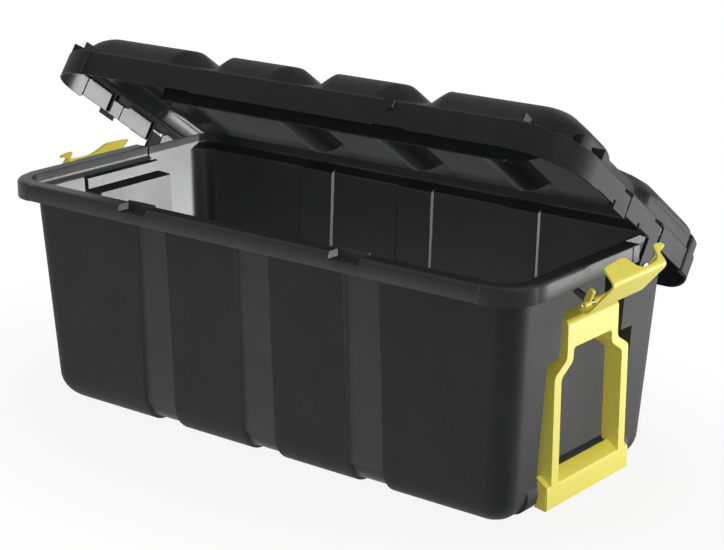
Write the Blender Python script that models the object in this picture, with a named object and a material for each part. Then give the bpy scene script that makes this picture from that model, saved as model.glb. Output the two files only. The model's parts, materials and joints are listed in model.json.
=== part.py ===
"""Storage trunk: a moulded tub, a domed lid on two hinge pins, two end latches and two pull handles.

Metres, +Z up. The origin is the centre of the tub's underside, +X is one end, -Y is the front.
"""
import math

import bmesh
import bpy
from mathutils import Matrix, Vector

# Tub: driving sizes
TRUNK_LENGTH = 0.967
TUB_HEIGHT = 0.3646
OPENING_DEPTH = 0.423
WALL = 0.003
FLANGE_WIDTH = 0.0248
FLANGE_DROP = 0.0259
FLANGE_ROUNDING = 0.006
CORNER_RADIUS = 0.035
BASE_ROUNDING = 0.047
BASE_ROUNDING_STEPS = 4
BASE_CORNER_TIGHTENING = 0.7
END_DRAFT = 0.023
SIDE_DRAFT = 0.0155
RIM_FLARE_END = 0.0037
RIM_FLARE_SIDE = 0.0145
RIM_FLARE_HEIGHT = 0.013
FLANGE_REAR_END = 0.065
REAR_END_WALL_STEP = 0.003
CORNER_SEGMENTS = 6
INNER_WIDENING = 0.0024

# Channels down the long walls
CHANNEL_PITCH = 0.1996
CHANNEL_HALF_WIDTH = 0.031
CHANNEL_DEPTH = 0.0055
CHANNEL_SIDE = 0.0025

# Recess in each end, for the latch above and the pull handle below
RECESS_INSET = 0.061
RECESS_DRAFT = 0.002
SHALLOW_DEPTH = 0.006
SHALLOW_HEIGHT = 0.0207
RECESS_BOTTOM = 0.060

# Padlock notches in the front rim
NOTCH_HALF_LENGTH = 0.027
NOTCH_DEPTH = 0.010
NOTCH_FENCE = 0.003
NOTCH_FLOOR = 0.005
PADLOCK_SLOT_LENGTH = 0.024
PADLOCK_SLOT_WIDTH = 0.008

# Hinge of the lid
LID_HINGE_DROP = 0.0363
LID_HINGE_BEHIND_FLANGE = 0.0136
LID_PIN_RADIUS = 0.003
LID_PIN_HEAD_RADIUS = 0.006
LID_PIN_HEAD_THICKNESS = 0.003
LID_BOSS_RADIUS = 0.009
LID_ARM_RADIUS = 0.012
LID_ARM_THICKNESS = 0.006

# Lid, measured closed
LID_OPEN_ANGLE = math.radians(35.19)
LID_GAP = 0.0016
LID_FRONT_LANDING = 0.0048
LID_REAR_OVERHANG = 0.0272
LID_SKIRT = 0.0366
LID_RISE = 0.0885
LID_REAR_SKIRT_DROP = 0.012
LID_FRONT_RADIUS = 0.090
LID_REAR_RADIUS = 0.045
LID_SHOULDER = 0.017
LID_VALLEY_DEPTH = 0.0205
LID_RIDGE_DEPTH = 0.022
LID_VALLEY_HALF_WIDTH = 0.040
LID_VALLEY_FLOOR = 0.006
LID_VALLEY_ROUNDING = 1.3
LID_REAR_VALLEY = 0.1
LID_RIDGE_BEHIND = 0.0513
LID_RIDGE_WALL = 0.004
LID_RIDGE_RAMP = 0.005
LID_FRONT_SLOPE = 0.048
LID_FRONT_SLOPE_RUN = 0.0165
LID_FRONT_SLOPE_RUN_INNER = 0.0201
LID_DOME_EDGE_DROP = 0.0156
LID_DOME_EDGE_DROP_INNER = 0.018
LID_SIDE_BEND_INSET = 0.0111
LID_SIDE_BEND_DROP = 0.0051
LID_REAR_WALL_DROP = 0.030
LID_REAR_CURVE = ((0.0009, 0.0225), (0.003, 0.0186), (0.0105, 0.0135), (0.024, 0.0069))
LID_REAR_CURVE_INNER = ((0.0045, 0.0225), (0.012, 0.0165), (0.0255, 0.0099))
LID_FRONT_CORNER_STEPS = 7
LID_REAR_CORNER_STEPS = 4
LID_PLATE_INSET = 0.075
LID_SIDE_PLATE_INSET = 0.050
LID_LIP_INSET = 0.0435
LID_LIP_DROP = 0.005
LID_LIP_RISE = 0.0048
LID_LIP_LEFT = 0.244
LID_LIP_RIGHT = 0.400
CATCH_STAND = 0.0033
CATCH_HEIGHT = 0.0055
CATCH_DROP = 0.0065
CATCH_START = 0.0223
CATCH_END = 0.0583

# Latches
LATCH_HINGE_DROP = 0.0586
LATCH_HINGE_INSET = 0.0075
LATCH_HALF_LENGTH = 0.0765
LATCH_PLATE = 0.003
LATCH_FOOT_DROP = 0.0021
LATCH_FOOT = 0.0149
LATCH_BEND = 0.004
LATCH_BEND_DROP = 0.0012
LATCH_FOLD_SHARE = 0.6
LATCH_FOLD_OUT = 0.0285
LATCH_FOLD_DROP = 0.0037
LATCH_TIP_OUT = 0.0015
LATCH_TIP_RISE = 0.0106
LATCH_REST_ANGLE = math.radians(21.2)
LATCH_PIN_RADIUS = 0.002
LATCH_BARREL_RADIUS = 0.0045
LATCH_BARREL_INSET = 0.0105
LATCH_POST_CENTRE = 0.046
LATCH_POST_WIDTH = 0.006
LATCH_POST_BURY = 0.0012
LATCH_PRONG_CENTRE = 0.0605
LATCH_PRONG_WIDTH = 0.007
LATCH_PRONG_HEIGHT = 0.0225
LATCH_PRONG_FRONT_HEIGHT = 0.02025
LATCH_PRONG_BACK = 0.006
LATCH_PRONG_TOP_BACK = 0.0048
LATCH_PRONG_TOP_FRONT = 0.0036
LATCH_LIP = ((0.0, 0.86), (0.42, 0.86), (0.50, 0.72), (0.66, 0.72), (0.74, 1.0), (0.94, 1.0), (1.0, 0.86))

# Pull handles
HANDLE_PIVOT_HEIGHT = 0.036
HANDLE_PIVOT_BEHIND_FLOOR = 0.0105
HANDLE_FRONT = 0.0425
HANDLE_DEPTH = 0.0283
HANDLE_BELOW_LATCH_HINGE = 0.0265
HANDLE_TOP_HALF_WIDTH = 0.0655
HANDLE_HALF_WIDTH = 0.096
HANDLE_RAIL = 0.017
HANDLE_TOP_BAR = 0.0415
HANDLE_SHOULDER_DROP = 0.0555
HANDLE_SHOULDER_HEIGHT = 0.018
HANDLE_TOP_RAIL = 0.0155
HANDLE_OPENING_STEP = 0.3
HANDLE_BULLNOSE = 0.010
HANDLE_WALL = 0.0035
CROSSBAR_BOTTOM = 0.022
CROSSBAR_TOP = 0.011
CROSSBAR_SLOPE_RISE = 0.0136
CROSSBAR_SLOPE_REACH = 0.77
CROSSBAR_HEEL_REACH = 0.6
CROSSBAR_TOE_REACH = 0.7
HANDLE_EAR_THICKNESS = 0.007
HANDLE_EYE_RADIUS = 0.0085
HANDLE_EAR_FIRST = 50
HANDLE_EAR_LAST = 310
HANDLE_EAR_RISE = 0.006375
HANDLE_SWEEP_BELOW = 150
HANDLE_SWEEP_ABOVE = 66
SLOT_MARGIN = 7
HANDLE_STUB_RADIUS = 0.004
HANDLE_STUB_LENGTH = 0.010
BARREL_RADIUS = 0.0275
BARREL_END_RADIUS = 0.0283
BARREL_END_LENGTH = 0.0265
RECESS_SIDE_CLEARANCE = 0.0125
HOUSING_BURY = 0.0021
HOUSING_FLOOR = 0.0018
HOUSING_FOOT_ANGLE = -75

# Fits
RUNNING_GAP = 0.0003
EAR_CLEARANCE = 0.001
SWING_SIDE_GAP = 0.0015
BARREL_CLEARANCE = 0.0013
HANDLE_CLEARANCE = 0.002
OVERLAP = 0.004

# Places worked out from the sizes above
HALF_LENGTH = TRUNK_LENGTH / 2
END_TOP = HALF_LENGTH - FLANGE_WIDTH
SIDE_TOP = OPENING_DEPTH / 2
FRONT_FACE = SIDE_TOP + FLANGE_WIDTH
RIM_UNDER = TUB_HEIGHT - FLANGE_DROP
END_WALL = END_TOP + WALL - RIM_FLARE_END
SIDE_WALL = SIDE_TOP + WALL - RIM_FLARE_SIDE
RECESS_FLOOR = HALF_LENGTH - RECESS_INSET
DEEP_TOP = RIM_UNDER - SHALLOW_HEIGHT
LATCH_HINGE = Vector((HALF_LENGTH - LATCH_HINGE_INSET, 0, TUB_HEIGHT - LATCH_HINGE_DROP))
HANDLE_HINGE = Vector((RECESS_FLOOR - HANDLE_PIVOT_BEHIND_FLOOR, 0, HANDLE_PIVOT_HEIGHT))
HANDLE_TOP = LATCH_HINGE.z - HANDLE_BELOW_LATCH_HINGE
HANDLE_SHOULDER = HANDLE_TOP - HANDLE_SHOULDER_DROP
RECESS_SHOULDER = HANDLE_SHOULDER + HANDLE_CLEARANCE
RECESS_HALF_WIDTH = HANDLE_HALF_WIDTH + RECESS_SIDE_CLEARANCE
LID_HINGE_Y = FLANGE_REAR_END + LID_HINGE_BEHIND_FLANGE
LID_HINGE_Z = TUB_HEIGHT - LID_HINGE_DROP
LID_BASE = TUB_HEIGHT + LID_GAP
LID_FRONT = -SIDE_TOP - LID_FRONT_LANDING
LID_REAR = SIDE_TOP + WALL + LID_REAR_OVERHANG
LID_SKIRT_INNER = HALF_LENGTH - WALL
LID_RIDGE_REAR = SIDE_TOP - LID_RIDGE_BEHIND
HANDLE_SWEEP = math.hypot(HANDLE_FRONT, CROSSBAR_BOTTOM) + BARREL_CLEARANCE
EAR_INNER = HANDLE_HALF_WIDTH + HANDLE_EAR_THICKNESS / 2
EAR_OUTER = EAR_INNER + HANDLE_EAR_THICKNESS

CHANNEL_CENTRES = [-CHANNEL_PITCH, 0.0, CHANNEL_PITCH]
BLACK = (0.022, 0.023, 0.025, 1)
YELLOW = (0.84, 0.76, 0.10, 1)
STEEL = (0.55, 0.56, 0.57, 1)


def clear_scene():
    """Removes whatever the scene holds."""
    for item in list(bpy.data.objects):
        bpy.data.objects.remove(item, do_unlink=True)


def new_collection(name):
    """Returns a new collection that is linked to the scene."""
    collection = bpy.data.collections.new(name)
    bpy.context.scene.collection.children.link(collection)
    return collection


def plastic(name, colour, roughness, metallic=0.0):
    """Returns a material with one Principled BSDF."""
    material = bpy.data.materials.new(name)
    material.use_nodes = True
    shader = material.node_tree.nodes["Principled BSDF"]
    shader.inputs["Base Color"].default_value = colour
    shader.inputs["Roughness"].default_value = roughness
    shader.inputs["Metallic"].default_value = metallic
    material.diffuse_color = colour
    return material


def object_from(name, shape, collection):
    """Returns an object that holds the bmesh, which is freed."""
    mesh = bpy.data.meshes.new(name)
    shape.to_mesh(mesh)
    shape.free()
    item = bpy.data.objects.new(name, mesh)
    collection.objects.link(item)
    return item


def box(name, low, high, collection):
    """Returns a box between two corners."""
    shape = bmesh.new()
    bmesh.ops.create_cube(shape, size=1)
    low, high = Vector(low), Vector(high)
    bmesh.ops.scale(shape, vec=high - low, verts=shape.verts)
    bmesh.ops.translate(shape, vec=(low + high) / 2, verts=shape.verts)
    return object_from(name, shape, collection)


def rod(name, axis, centre, start, end, radius, collection, segments=20):
    """Returns a cylinder along axis X or Y, from start to end on that axis, through centre."""
    shape = bmesh.new()
    bmesh.ops.create_cone(shape, cap_ends=True, segments=segments, radius1=radius, radius2=radius,
                          depth=end - start)
    turn = Matrix.Rotation(math.pi / 2, 4, "Y" if axis == "X" else "X")
    bmesh.ops.transform(shape, matrix=turn, verts=shape.verts)
    place = Vector(centre)
    place["XYZ".index(axis)] = (start + end) / 2
    bmesh.ops.translate(shape, vec=place, verts=shape.verts)
    return object_from(name, shape, collection)


def prism(name, outlines, axis, start, end, collection):
    """Returns a flat outline extruded along axis X or Y.

    An outline is a list of (across, up) points: (y, z) on axis X and (x, z) on axis Y. Outlines after
    the first are holes.
    """
    curve = bpy.data.curves.new(name, "CURVE")
    curve.dimensions = "2D"
    curve.fill_mode = "BOTH"
    curve.extrude = abs(end - start) / 2
    for outline in outlines:
        spline = curve.splines.new("POLY")
        spline.points.add(len(outline) - 1)
        for point, (across, up) in zip(spline.points, outline):
            point.co = (across, up, 0, 1)
        spline.use_cyclic_u = True
    sketch = bpy.data.objects.new(name, curve)
    collection.objects.link(sketch)
    middle = (start + end) / 2
    if axis == "X":
        columns = [Vector((0, 1, 0)), Vector((0, 0, 1)), Vector((1, 0, 0))]
        place = Vector((middle, 0, 0))
    else:
        columns = [Vector((1, 0, 0)), Vector((0, 0, 1)), Vector((0, -1, 0))]
        place = Vector((0, middle, 0))
    sketch.matrix_world = Matrix.Translation(place) @ Matrix(columns).transposed().to_4x4()
    return welded(sketch, collection)


def welded(sketch, collection):
    """Returns a mesh object in the place of a curve object, with its caps joined and its place in its mesh."""
    bpy.context.view_layer.update()
    mesh = bpy.data.meshes.new_from_object(sketch.evaluated_get(bpy.context.evaluated_depsgraph_get()))
    mesh.transform(sketch.matrix_world)
    name, curve = sketch.name, sketch.data
    bpy.data.objects.remove(sketch)
    bpy.data.curves.remove(curve)
    shape = bmesh.new()
    shape.from_mesh(mesh)
    bpy.data.meshes.remove(mesh)
    bmesh.ops.remove_doubles(shape, verts=shape.verts, dist=0.00001)
    bmesh.ops.recalc_face_normals(shape, faces=shape.faces)
    return object_from(name, shape, collection)


def combine(item, others, operation, cutters):
    """Adds a Boolean for each of the others, which move to the cutters collection."""
    for other in others:
        for home in list(other.users_collection):
            home.objects.unlink(other)
        cutters.objects.link(other)
        other.hide_render = True
        other.display_type = "WIRE"
        step = item.modifiers.new(operation.lower(), "BOOLEAN")
        step.operation = operation
        step.object = other
        step.solver = "EXACT"


def finish(item, material, place=(0, 0, 0)):
    """Gives the object its material and moves its origin to place, its shape staying where it is."""
    item.data.materials.clear()
    item.data.materials.append(material)
    item.data.transform(Matrix.Translation(-Vector(place)))
    item.location = place
    for step in item.modifiers:
        if step.type == "BOOLEAN":
            step.object.data.transform(Matrix.Translation(-Vector(place)))
            step.object.location = place
    item.data.shade_smooth()
    item.data.set_sharp_from_angle(angle=math.radians(30))


def pose(item, place):
    """Places an object and whatever is joined to it or cut from it by the same matrix."""
    item.matrix_world = place
    for step in item.modifiers:
        if step.type == "BOOLEAN":
            step.object.matrix_world = place


def arc(centre, radius, first, last, segments):
    """Returns points on an arc, from the first angle to the last, in degrees."""
    angles = [math.radians(first + (last - first) * k / segments) for k in range(segments + 1)]
    return [(centre[0] + radius * math.cos(a), centre[1] + radius * math.sin(a)) for a in angles]


def tub_stations():
    """Returns the places round the tub's outline, as (kind, sign or angle, along, in_channel, wide, narrow).

    They start on the right end where the flange stops, and run behind the tub to the left end and then
    along the front. A corner's place is its angle.
    """
    edges = []
    for centre in CHANNEL_CENTRES:
        for offset, inside in ((-CHANNEL_SIDE, 0), (0, 1)):
            edges.append((centre - CHANNEL_HALF_WIDTH + offset, inside, -1))
        for offset, inside in ((0, 1), (CHANNEL_SIDE, 0)):
            edges.append((centre + CHANNEL_HALF_WIDTH + offset, inside, 1))
    widths = [(LATCH_HALF_LENGTH + RECESS_DRAFT, 1, 1), (LATCH_HALF_LENGTH + 2 * RECESS_DRAFT, 1, 0),
              (RECESS_HALF_WIDTH, 1, 0), (RECESS_HALF_WIDTH + RECESS_DRAFT, 0, 0)]
    behind = [("end", y, wide, narrow, 1) for y, wide, narrow in widths]
    before = [("end", -y, wide, narrow, -1) for y, wide, narrow in reversed(widths)]
    flange_end = [("end", FLANGE_REAR_END, 1, 1, 0)]
    past_flange = [("end", FLANGE_REAR_END + REAR_END_WALL_STEP, 1, 1, 0)]
    angles = [90 * k / CORNER_SEGMENTS for k in range(CORNER_SEGMENTS + 1)]
    ring = [(1,) + place for place in flange_end + past_flange + behind]
    ring += [(1, "corner", angle) for angle in angles]
    ring += [(1, "side") + edge for edge in reversed(edges)]
    ring += [(-1, "corner", 180 - angle) for angle in reversed(angles)]
    ring += [(-1,) + place for place in list(reversed(behind)) + past_flange + flange_end]
    ring += [(-1,) + place for place in reversed(before)]
    ring += [(-1, "corner", 180 + angle) for angle in angles]
    ring += [(-1, "side") + edge for edge in edges]
    ring += [(1, "corner", 360 - angle) for angle in reversed(angles)]
    ring += [(1,) + place for place in before]
    return ring


def tub_ring(half_length, half_width, radius, height, floor=None, depth=None, inward=0.0, step=0.0):
    """Returns the tub's outline at one height.

    Where a station lies in the recess, floor is its distance from the middle as (wide, narrow), or None
    for the plain wall. depth is the channels' depth. An inner ring widens recesses and channels by inward.
    step draws in the end walls behind the flange. Where the straight stretch of an end is shorter than the
    recess, its stations are drawn together.
    """
    straight = half_width - radius - WALL
    squeeze = min(1.0, straight / (RECESS_HALF_WIDTH + 2 * RECESS_DRAFT))
    points = []
    for station in tub_stations():
        sign, kind, place = station[:3]
        if kind == "corner":
            across, along = math.cos(math.radians(place)), math.sin(math.radians(place))
            x = math.copysign(half_length - radius, across) + radius * across
            y = math.copysign(half_width - radius, along) + radius * along
            if abs(across) < 0.000001:
                x = math.copysign(half_length - radius, sign)
            if abs(along) < 0.000001:
                y = math.copysign(half_width - radius, points[-1][1] if points else 1)
        elif kind == "side":
            inside, edge = station[3], station[4]
            x = place + edge * inward
            y = sign * (half_width - (depth or 0.0) * inside)
        else:
            wide, narrow, edge = station[3:]
            target = half_length
            if floor and floor[1] and narrow:
                target = floor[1]
            if floor and floor[0] and wide:
                target = min(target, floor[0])
            x = sign * target
            y = (place + edge * inward) * squeeze
        if step and y > FLANGE_REAR_END + REAR_END_WALL_STEP / 2:
            x = math.copysign(min(abs(x), half_length - step), x)
        points.append((x, y, height))
    return points


def wall_at(height):
    """Returns the outer half-length and half-width of the drafted wall."""
    share = height / RIM_UNDER
    base_length, base_width = END_WALL - END_DRAFT, SIDE_WALL - SIDE_DRAFT
    return base_length + END_DRAFT * share, base_width + SIDE_DRAFT * share


def rounding_rings(inner):
    """Returns the rings round the bottom edge, from the floor up."""
    rings = []
    wall = WALL if inner else 0.0
    widening = INNER_WIDENING if inner else 0.0
    for step in range(BASE_ROUNDING_STEPS + 1):
        angle = math.radians(90 * step / BASE_ROUNDING_STEPS)
        length, width = wall_at(BASE_ROUNDING)
        inset = BASE_ROUNDING - (BASE_ROUNDING - wall) * math.sin(angle)
        height = BASE_ROUNDING - (BASE_ROUNDING - wall) * math.cos(angle)
        radius = CORNER_RADIUS * (1 - BASE_CORNER_TIGHTENING * inset / BASE_ROUNDING)
        rings.append(tub_ring(length - inset, width - inset, radius, height, depth=CHANNEL_DEPTH,
                              inward=widening))
    return rings


def recess_rings(inner):
    """Returns the wall's rings from the recess's lower ledge to the underside of the rim."""
    wall = WALL if inner else 0.0
    widening = INNER_WIDENING if inner else 0.0
    deep = RECESS_FLOOR - wall
    levels = [
        (RECESS_BOTTOM - wall, None, None),
        (RECESS_BOTTOM - wall + RECESS_DRAFT, deep, deep),
        (RECESS_SHOULDER + wall, deep, deep),
        (RECESS_SHOULDER + wall + RECESS_DRAFT, None, deep),
        (DEEP_TOP + wall, None, deep),
        (DEEP_TOP + wall + RECESS_DRAFT, None, "shallow"),
        (RIM_UNDER - RECESS_DRAFT + wall * 0.5, None, "shallow"),
        (RIM_UNDER + wall * 0.5, None, None),
    ]
    rings = []
    for height, wide, narrow in levels:
        length, width = wall_at(height)
        length, width = length - wall, width - wall
        if narrow == "shallow":
            narrow = length - SHALLOW_DEPTH
        rings.append(tub_ring(length, width, CORNER_RADIUS, height, floor=(wide, narrow),
                              depth=CHANNEL_DEPTH, inward=widening))
    return rings


def rim_rings(inner):
    """Returns the rings where the wall flares out below the rim, and its top edge."""
    wall = 0.0 if inner else WALL
    radius = CORNER_RADIUS + wall
    flare = RIM_UNDER + RIM_FLARE_HEIGHT + (WALL * 0.5 if inner else 0.0)
    heights = [flare, TUB_HEIGHT] if inner else [flare, TUB_HEIGHT - WALL, TUB_HEIGHT]
    return [tub_ring(END_TOP + wall, SIDE_TOP + wall, radius, height, step=REAR_END_WALL_STEP)
            for height in heights]


def flange_ring(offset, height):
    """Returns the rim outline at an offset out from its inner edge."""
    return tub_ring(END_TOP + offset, SIDE_TOP + offset, CORNER_RADIUS + offset, height)


def tub_shell(collection):
    """Returns the tub: a drafted, recessed wall with a floor, and a hooked flange round its front part."""
    outer = rounding_rings(False) + recess_rings(False) + rim_rings(False)
    inner = rounding_rings(True) + recess_rings(True) + rim_rings(True)
    skirt = FLANGE_WIDTH - WALL
    eased = FLANGE_ROUNDING * (1 - math.sqrt(0.5))
    flange = [
        flange_ring(skirt, TUB_HEIGHT - WALL), flange_ring(skirt, RIM_UNDER),
        flange_ring(FLANGE_WIDTH, RIM_UNDER), flange_ring(FLANGE_WIDTH, TUB_HEIGHT - FLANGE_ROUNDING),
        flange_ring(FLANGE_WIDTH - eased, TUB_HEIGHT - eased),
        flange_ring(FLANGE_WIDTH - FLANGE_ROUNDING, TUB_HEIGHT),
    ]
    stations = tub_stations()
    count = len(stations)
    flange_ends = [k for k, place in enumerate(stations) if place[1] == "end" and place[2] == FLANGE_REAR_END]
    left_end = max(flange_ends)
    shape = bmesh.new()
    outer_rows = [[shape.verts.new(point) for point in ring] for ring in outer]
    inner_rows = [[shape.verts.new(point) for point in ring] for ring in inner]
    in_flange = list(range(left_end, count)) + [0]
    flange_rows = [{k: shape.verts.new(ring[k]) for k in in_flange} for ring in flange]
    under, top = outer_rows[-2], outer_rows[-1]
    for rows in (outer_rows[:-1], list(reversed(inner_rows))):
        for first, second in zip(rows, rows[1:]):
            for k in range(count):
                following = (k + 1) % count
                shape.faces.new((first[k], first[following], second[following], second[k]))
    for k in range(count):
        following = (k + 1) % count
        shape.faces.new((top[k], top[following], inner_rows[-1][following], inner_rows[-1][k]))
        if k < left_end:
            shape.faces.new((under[k], under[following], top[following], top[k]))
        else:
            hooked = [under] + flange_rows + [top]
            for first, second in zip(hooked, hooked[1:]):
                shape.faces.new((first[k], first[following], second[following], second[k]))
    for k in (left_end, 0):
        shape.faces.new([under[k]] + [row[k] for row in flange_rows] + [top[k]])
    shape.faces.new(outer_rows[0])
    shape.faces.new(inner_rows[0])
    bmesh.ops.recalc_face_normals(shape, faces=shape.faces)
    return object_from("tub", shape, collection)


def pivot_housing(sign, collection):
    """Returns the solid block inside the bottom edge that carries a pull handle's barrel and ears."""
    length = wall_at(BASE_ROUNDING)[0]
    radius = HANDLE_SWEEP + WALL
    edge = arc((length - BASE_ROUNDING, BASE_ROUNDING), BASE_ROUNDING - HOUSING_BURY, HOUSING_FOOT_ANGLE,
               0, 5)
    face = RECESS_FLOOR - HOUSING_BURY
    top_angle = math.degrees(math.acos((face - HANDLE_HINGE.x) / radius))
    floor_angle = 180 + math.degrees(math.asin((HANDLE_HINGE.z - HOUSING_FLOOR) / radius))
    outline = edge + [(edge[-1][0], RECESS_BOTTOM - HOUSING_BURY), (face, RECESS_BOTTOM - HOUSING_BURY)]
    outline += arc((HANDLE_HINGE.x, HANDLE_HINGE.z), radius, top_angle, floor_angle, 8)
    outline = [(sign * x, z) for x, z in outline]
    reach = EAR_OUTER + BARREL_END_LENGTH + WALL
    return prism("pivot_housing", [outline], "Y", -reach, reach, collection)


def handle_seats(sign, tub, cutters):
    """Adds to one end of the tub the barrel that a pull handle turns on, and cuts the room for its swing."""
    centre = (sign * HANDLE_HINGE.x, 0, HANDLE_HINGE.z)
    hinge = (HANDLE_HINGE.x, HANDLE_HINGE.z)
    room = [hinge] + arc(hinge, HANDLE_SWEEP, -HANDLE_SWEEP_BELOW, HANDLE_SWEEP_ABOVE, 14)
    room = [(sign * x, z) for x, z in room]
    side_room = EAR_OUTER + SWING_SIDE_GAP
    combine(tub, [pivot_housing(sign, cutters)], "UNION", cutters)
    combine(tub, [prism("swing_room", [room], "Y", -side_room, side_room, cutters)], "DIFFERENCE", cutters)
    below, above = SLOT_MARGIN - HANDLE_SWEEP_BELOW, HANDLE_SWEEP_ABOVE - SLOT_MARGIN
    sweep = arc(hinge, BARREL_END_RADIUS + WALL, below, above, 12)
    sweep += arc(hinge, HANDLE_EYE_RADIUS + 0.5 * WALL, above, 360 + below, 10)
    sweep = [(sign * x, z) for x, z in sweep]
    middle = (EAR_INNER + EAR_OUTER) / 2
    added = [rod("pivot_barrel", "Y", centre, -middle, middle, BARREL_RADIUS, cutters, 32)]
    cut = []
    for side in (-1, 1):
        slot = sorted((side * (EAR_INNER - EAR_CLEARANCE), side * (EAR_OUTER + EAR_CLEARANCE)))
        end = sorted((side * (middle + EAR_CLEARANCE), side * (EAR_OUTER + BARREL_END_LENGTH)))
        bore = sorted((side * EAR_OUTER, side * (EAR_OUTER + HANDLE_STUB_LENGTH + EAR_CLEARANCE)))
        added.append(rod("pivot_end", "Y", centre, end[0], end[1], BARREL_END_RADIUS, cutters, 32))
        cut.append(prism("ear_slot", [sweep], "Y", slot[0], slot[1], cutters))
        cut.append(rod("stub_bore", "Y", centre, bore[0], bore[1], HANDLE_STUB_RADIUS + RUNNING_GAP, cutters))
    combine(tub, added, "UNION", cutters)
    combine(tub, cut, "DIFFERENCE", cutters)


def latch_seats(sign, cutters):
    """Returns the two posts that carry a latch's pin, and the pin's bore."""
    root = wall_at(DEEP_TOP)[0] - SHALLOW_DEPTH - LATCH_POST_BURY
    eye = arc((LATCH_HINGE.x, LATCH_HINGE.z), LATCH_BARREL_RADIUS, -90, 90, 8)
    outline = eye + [(root, DEEP_TOP + 2 * WALL), (root, DEEP_TOP - WALL)]
    outline = [(sign * x, z) for x, z in outline]
    added, cut = [], []
    for side in (-1, 1):
        middle = side * LATCH_POST_CENTRE
        first, last = middle - LATCH_POST_WIDTH / 2, middle + LATCH_POST_WIDTH / 2
        added.append(prism("latch_post", [outline], "Y", first, last, cutters))
        centre = (sign * LATCH_HINGE.x, 0, LATCH_HINGE.z)
        cut.append(rod("latch_pin_bore", "Y", centre, first - WALL, last + WALL, LATCH_PIN_RADIUS + RUNNING_GAP,
                       cutters))
    return added, cut


def lid_seat(sign, cutters):
    """Returns the boss that carries one lid pin, and the pin's bore."""
    centre = (0, LID_HINGE_Y, LID_HINGE_Z)
    wall = wall_at(LID_HINGE_Z)[0] - WALL * 0.5
    face = LID_SKIRT_INNER - LID_ARM_THICKNESS + WALL - EAR_CLEARANCE
    ends = sorted((sign * wall, sign * face))
    bore = sorted((sign * (wall + WALL), sign * (face + WALL)))
    return ([rod("lid_boss", "X", centre, ends[0], ends[1], LID_BOSS_RADIUS, cutters, 24)],
            [rod("lid_pin_bore", "X", centre, bore[0], bore[1], LID_PIN_RADIUS + RUNNING_GAP, cutters)])


def padlock_notch(centre, cutters):
    """Returns the filled place under the front flange, and the notch and slot cut in it."""
    inner, outer = -SIDE_TOP - NOTCH_FENCE, -FRONT_FACE
    floor = TUB_HEIGHT - NOTCH_DEPTH
    half = NOTCH_HALF_LENGTH
    block = box("notch_block", (centre - half - WALL, outer + WALL * 0.5, floor - NOTCH_FLOOR),
                (centre + half + WALL, inner + WALL * 0.5, TUB_HEIGHT - WALL * 0.5), cutters)
    fence = box("notch_fence", (centre - half, inner + RUNNING_GAP, floor),
                (centre + half, -SIDE_TOP - RUNNING_GAP, TUB_HEIGHT + NOTCH_FENCE), cutters)
    notch = box("notch", (centre - half, outer - OVERLAP, floor),
                (centre + half, inner, TUB_HEIGHT + 2 * OVERLAP), cutters)
    middle = (inner + outer) / 2
    slot = box("padlock_slot", (centre - PADLOCK_SLOT_LENGTH / 2, middle - PADLOCK_SLOT_WIDTH / 2, RIM_UNDER),
               (centre + PADLOCK_SLOT_LENGTH / 2, middle + PADLOCK_SLOT_WIDTH / 2, TUB_HEIGHT), cutters)
    return [block, fence], [notch, slot]


def make_tub(collection, cutters, material):
    """Makes the tub with everything that is moulded in one with it."""
    tub = tub_shell(collection)
    added, cut = [], []
    for sign in (-1, 1):
        handle_seats(sign, tub, cutters)
        for seats in (latch_seats(sign, cutters), lid_seat(sign, cutters),
                      padlock_notch(sign * CHANNEL_PITCH, cutters)):
            added += seats[0]
            cut += seats[1]
    combine(tub, added, "UNION", cutters)
    combine(tub, cut, "DIFFERENCE", cutters)
    finish(tub, material)
    return tub


def lid_profile(inner):
    """Returns the lid's section as rows of (inset, height), for its front, sides and rear.

    Each row runs from the skirt's lower edge over the shoulder and up the dome to its flat top.
    """
    top = LID_RISE
    wall = WALL if inner else 0.0
    run, drop, curve = LID_FRONT_SLOPE_RUN, LID_DOME_EDGE_DROP, LID_REAR_CURVE
    skirt = [(0.0, 0.0), (0.0, LID_SKIRT - WALL), (WALL, LID_SKIRT), (LID_SHOULDER, LID_SKIRT + WALL / 2)]
    front_edge = (LID_FRONT_SLOPE, top - WALL)
    if inner:
        run, drop, curve = LID_FRONT_SLOPE_RUN_INNER, LID_DOME_EDGE_DROP_INNER, LID_REAR_CURVE_INNER
        skirt = [(wall, 0.0), (wall, LID_SKIRT - 2 * wall), (LID_SHOULDER + wall, LID_SKIRT - wall / 2)]
        front_edge = (LID_FRONT_SLOPE + wall / 2, top - 2 * wall)
    front = skirt + [(LID_SHOULDER + run, top - drop), front_edge, (LID_PLATE_INSET, top - wall)]
    side = skirt + [(LID_SHOULDER + WALL + wall, top - drop),
                    (LID_SHOULDER + LID_SIDE_BEND_INSET + wall, top - LID_SIDE_BEND_DROP - wall),
                    (LID_SIDE_PLATE_INSET, top - wall)]
    rear = [(wall, -LID_REAR_SKIRT_DROP), (wall, top - LID_REAR_WALL_DROP)]
    rear += [(inset, top - below) for inset, below in curve] + [(LID_SIDE_PLATE_INSET, top - wall)]
    return list(zip(front, side, rear))


def valley(x):
    """Returns how deep a valley is at x, from 0 on a dome's crown to 1 at its bottom."""
    nearest = min(abs(x - centre) for centre in CHANNEL_CENTRES)
    share = 1 - max(0.0, nearest - LID_VALLEY_FLOOR) / (LID_VALLEY_HALF_WIDTH - LID_VALLEY_FLOOR)
    return max(0.0, share) ** LID_VALLEY_ROUNDING


def lid_columns():
    """Returns the places along the lid where its front and rear edges have a point."""
    spans = [LID_VALLEY_FLOOR, (LID_VALLEY_FLOOR + LID_VALLEY_HALF_WIDTH) / 2, LID_VALLEY_HALF_WIDTH]
    return sorted(centre + side * span for centre in CHANNEL_CENTRES for side in (-1, 1) for span in spans)


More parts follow.
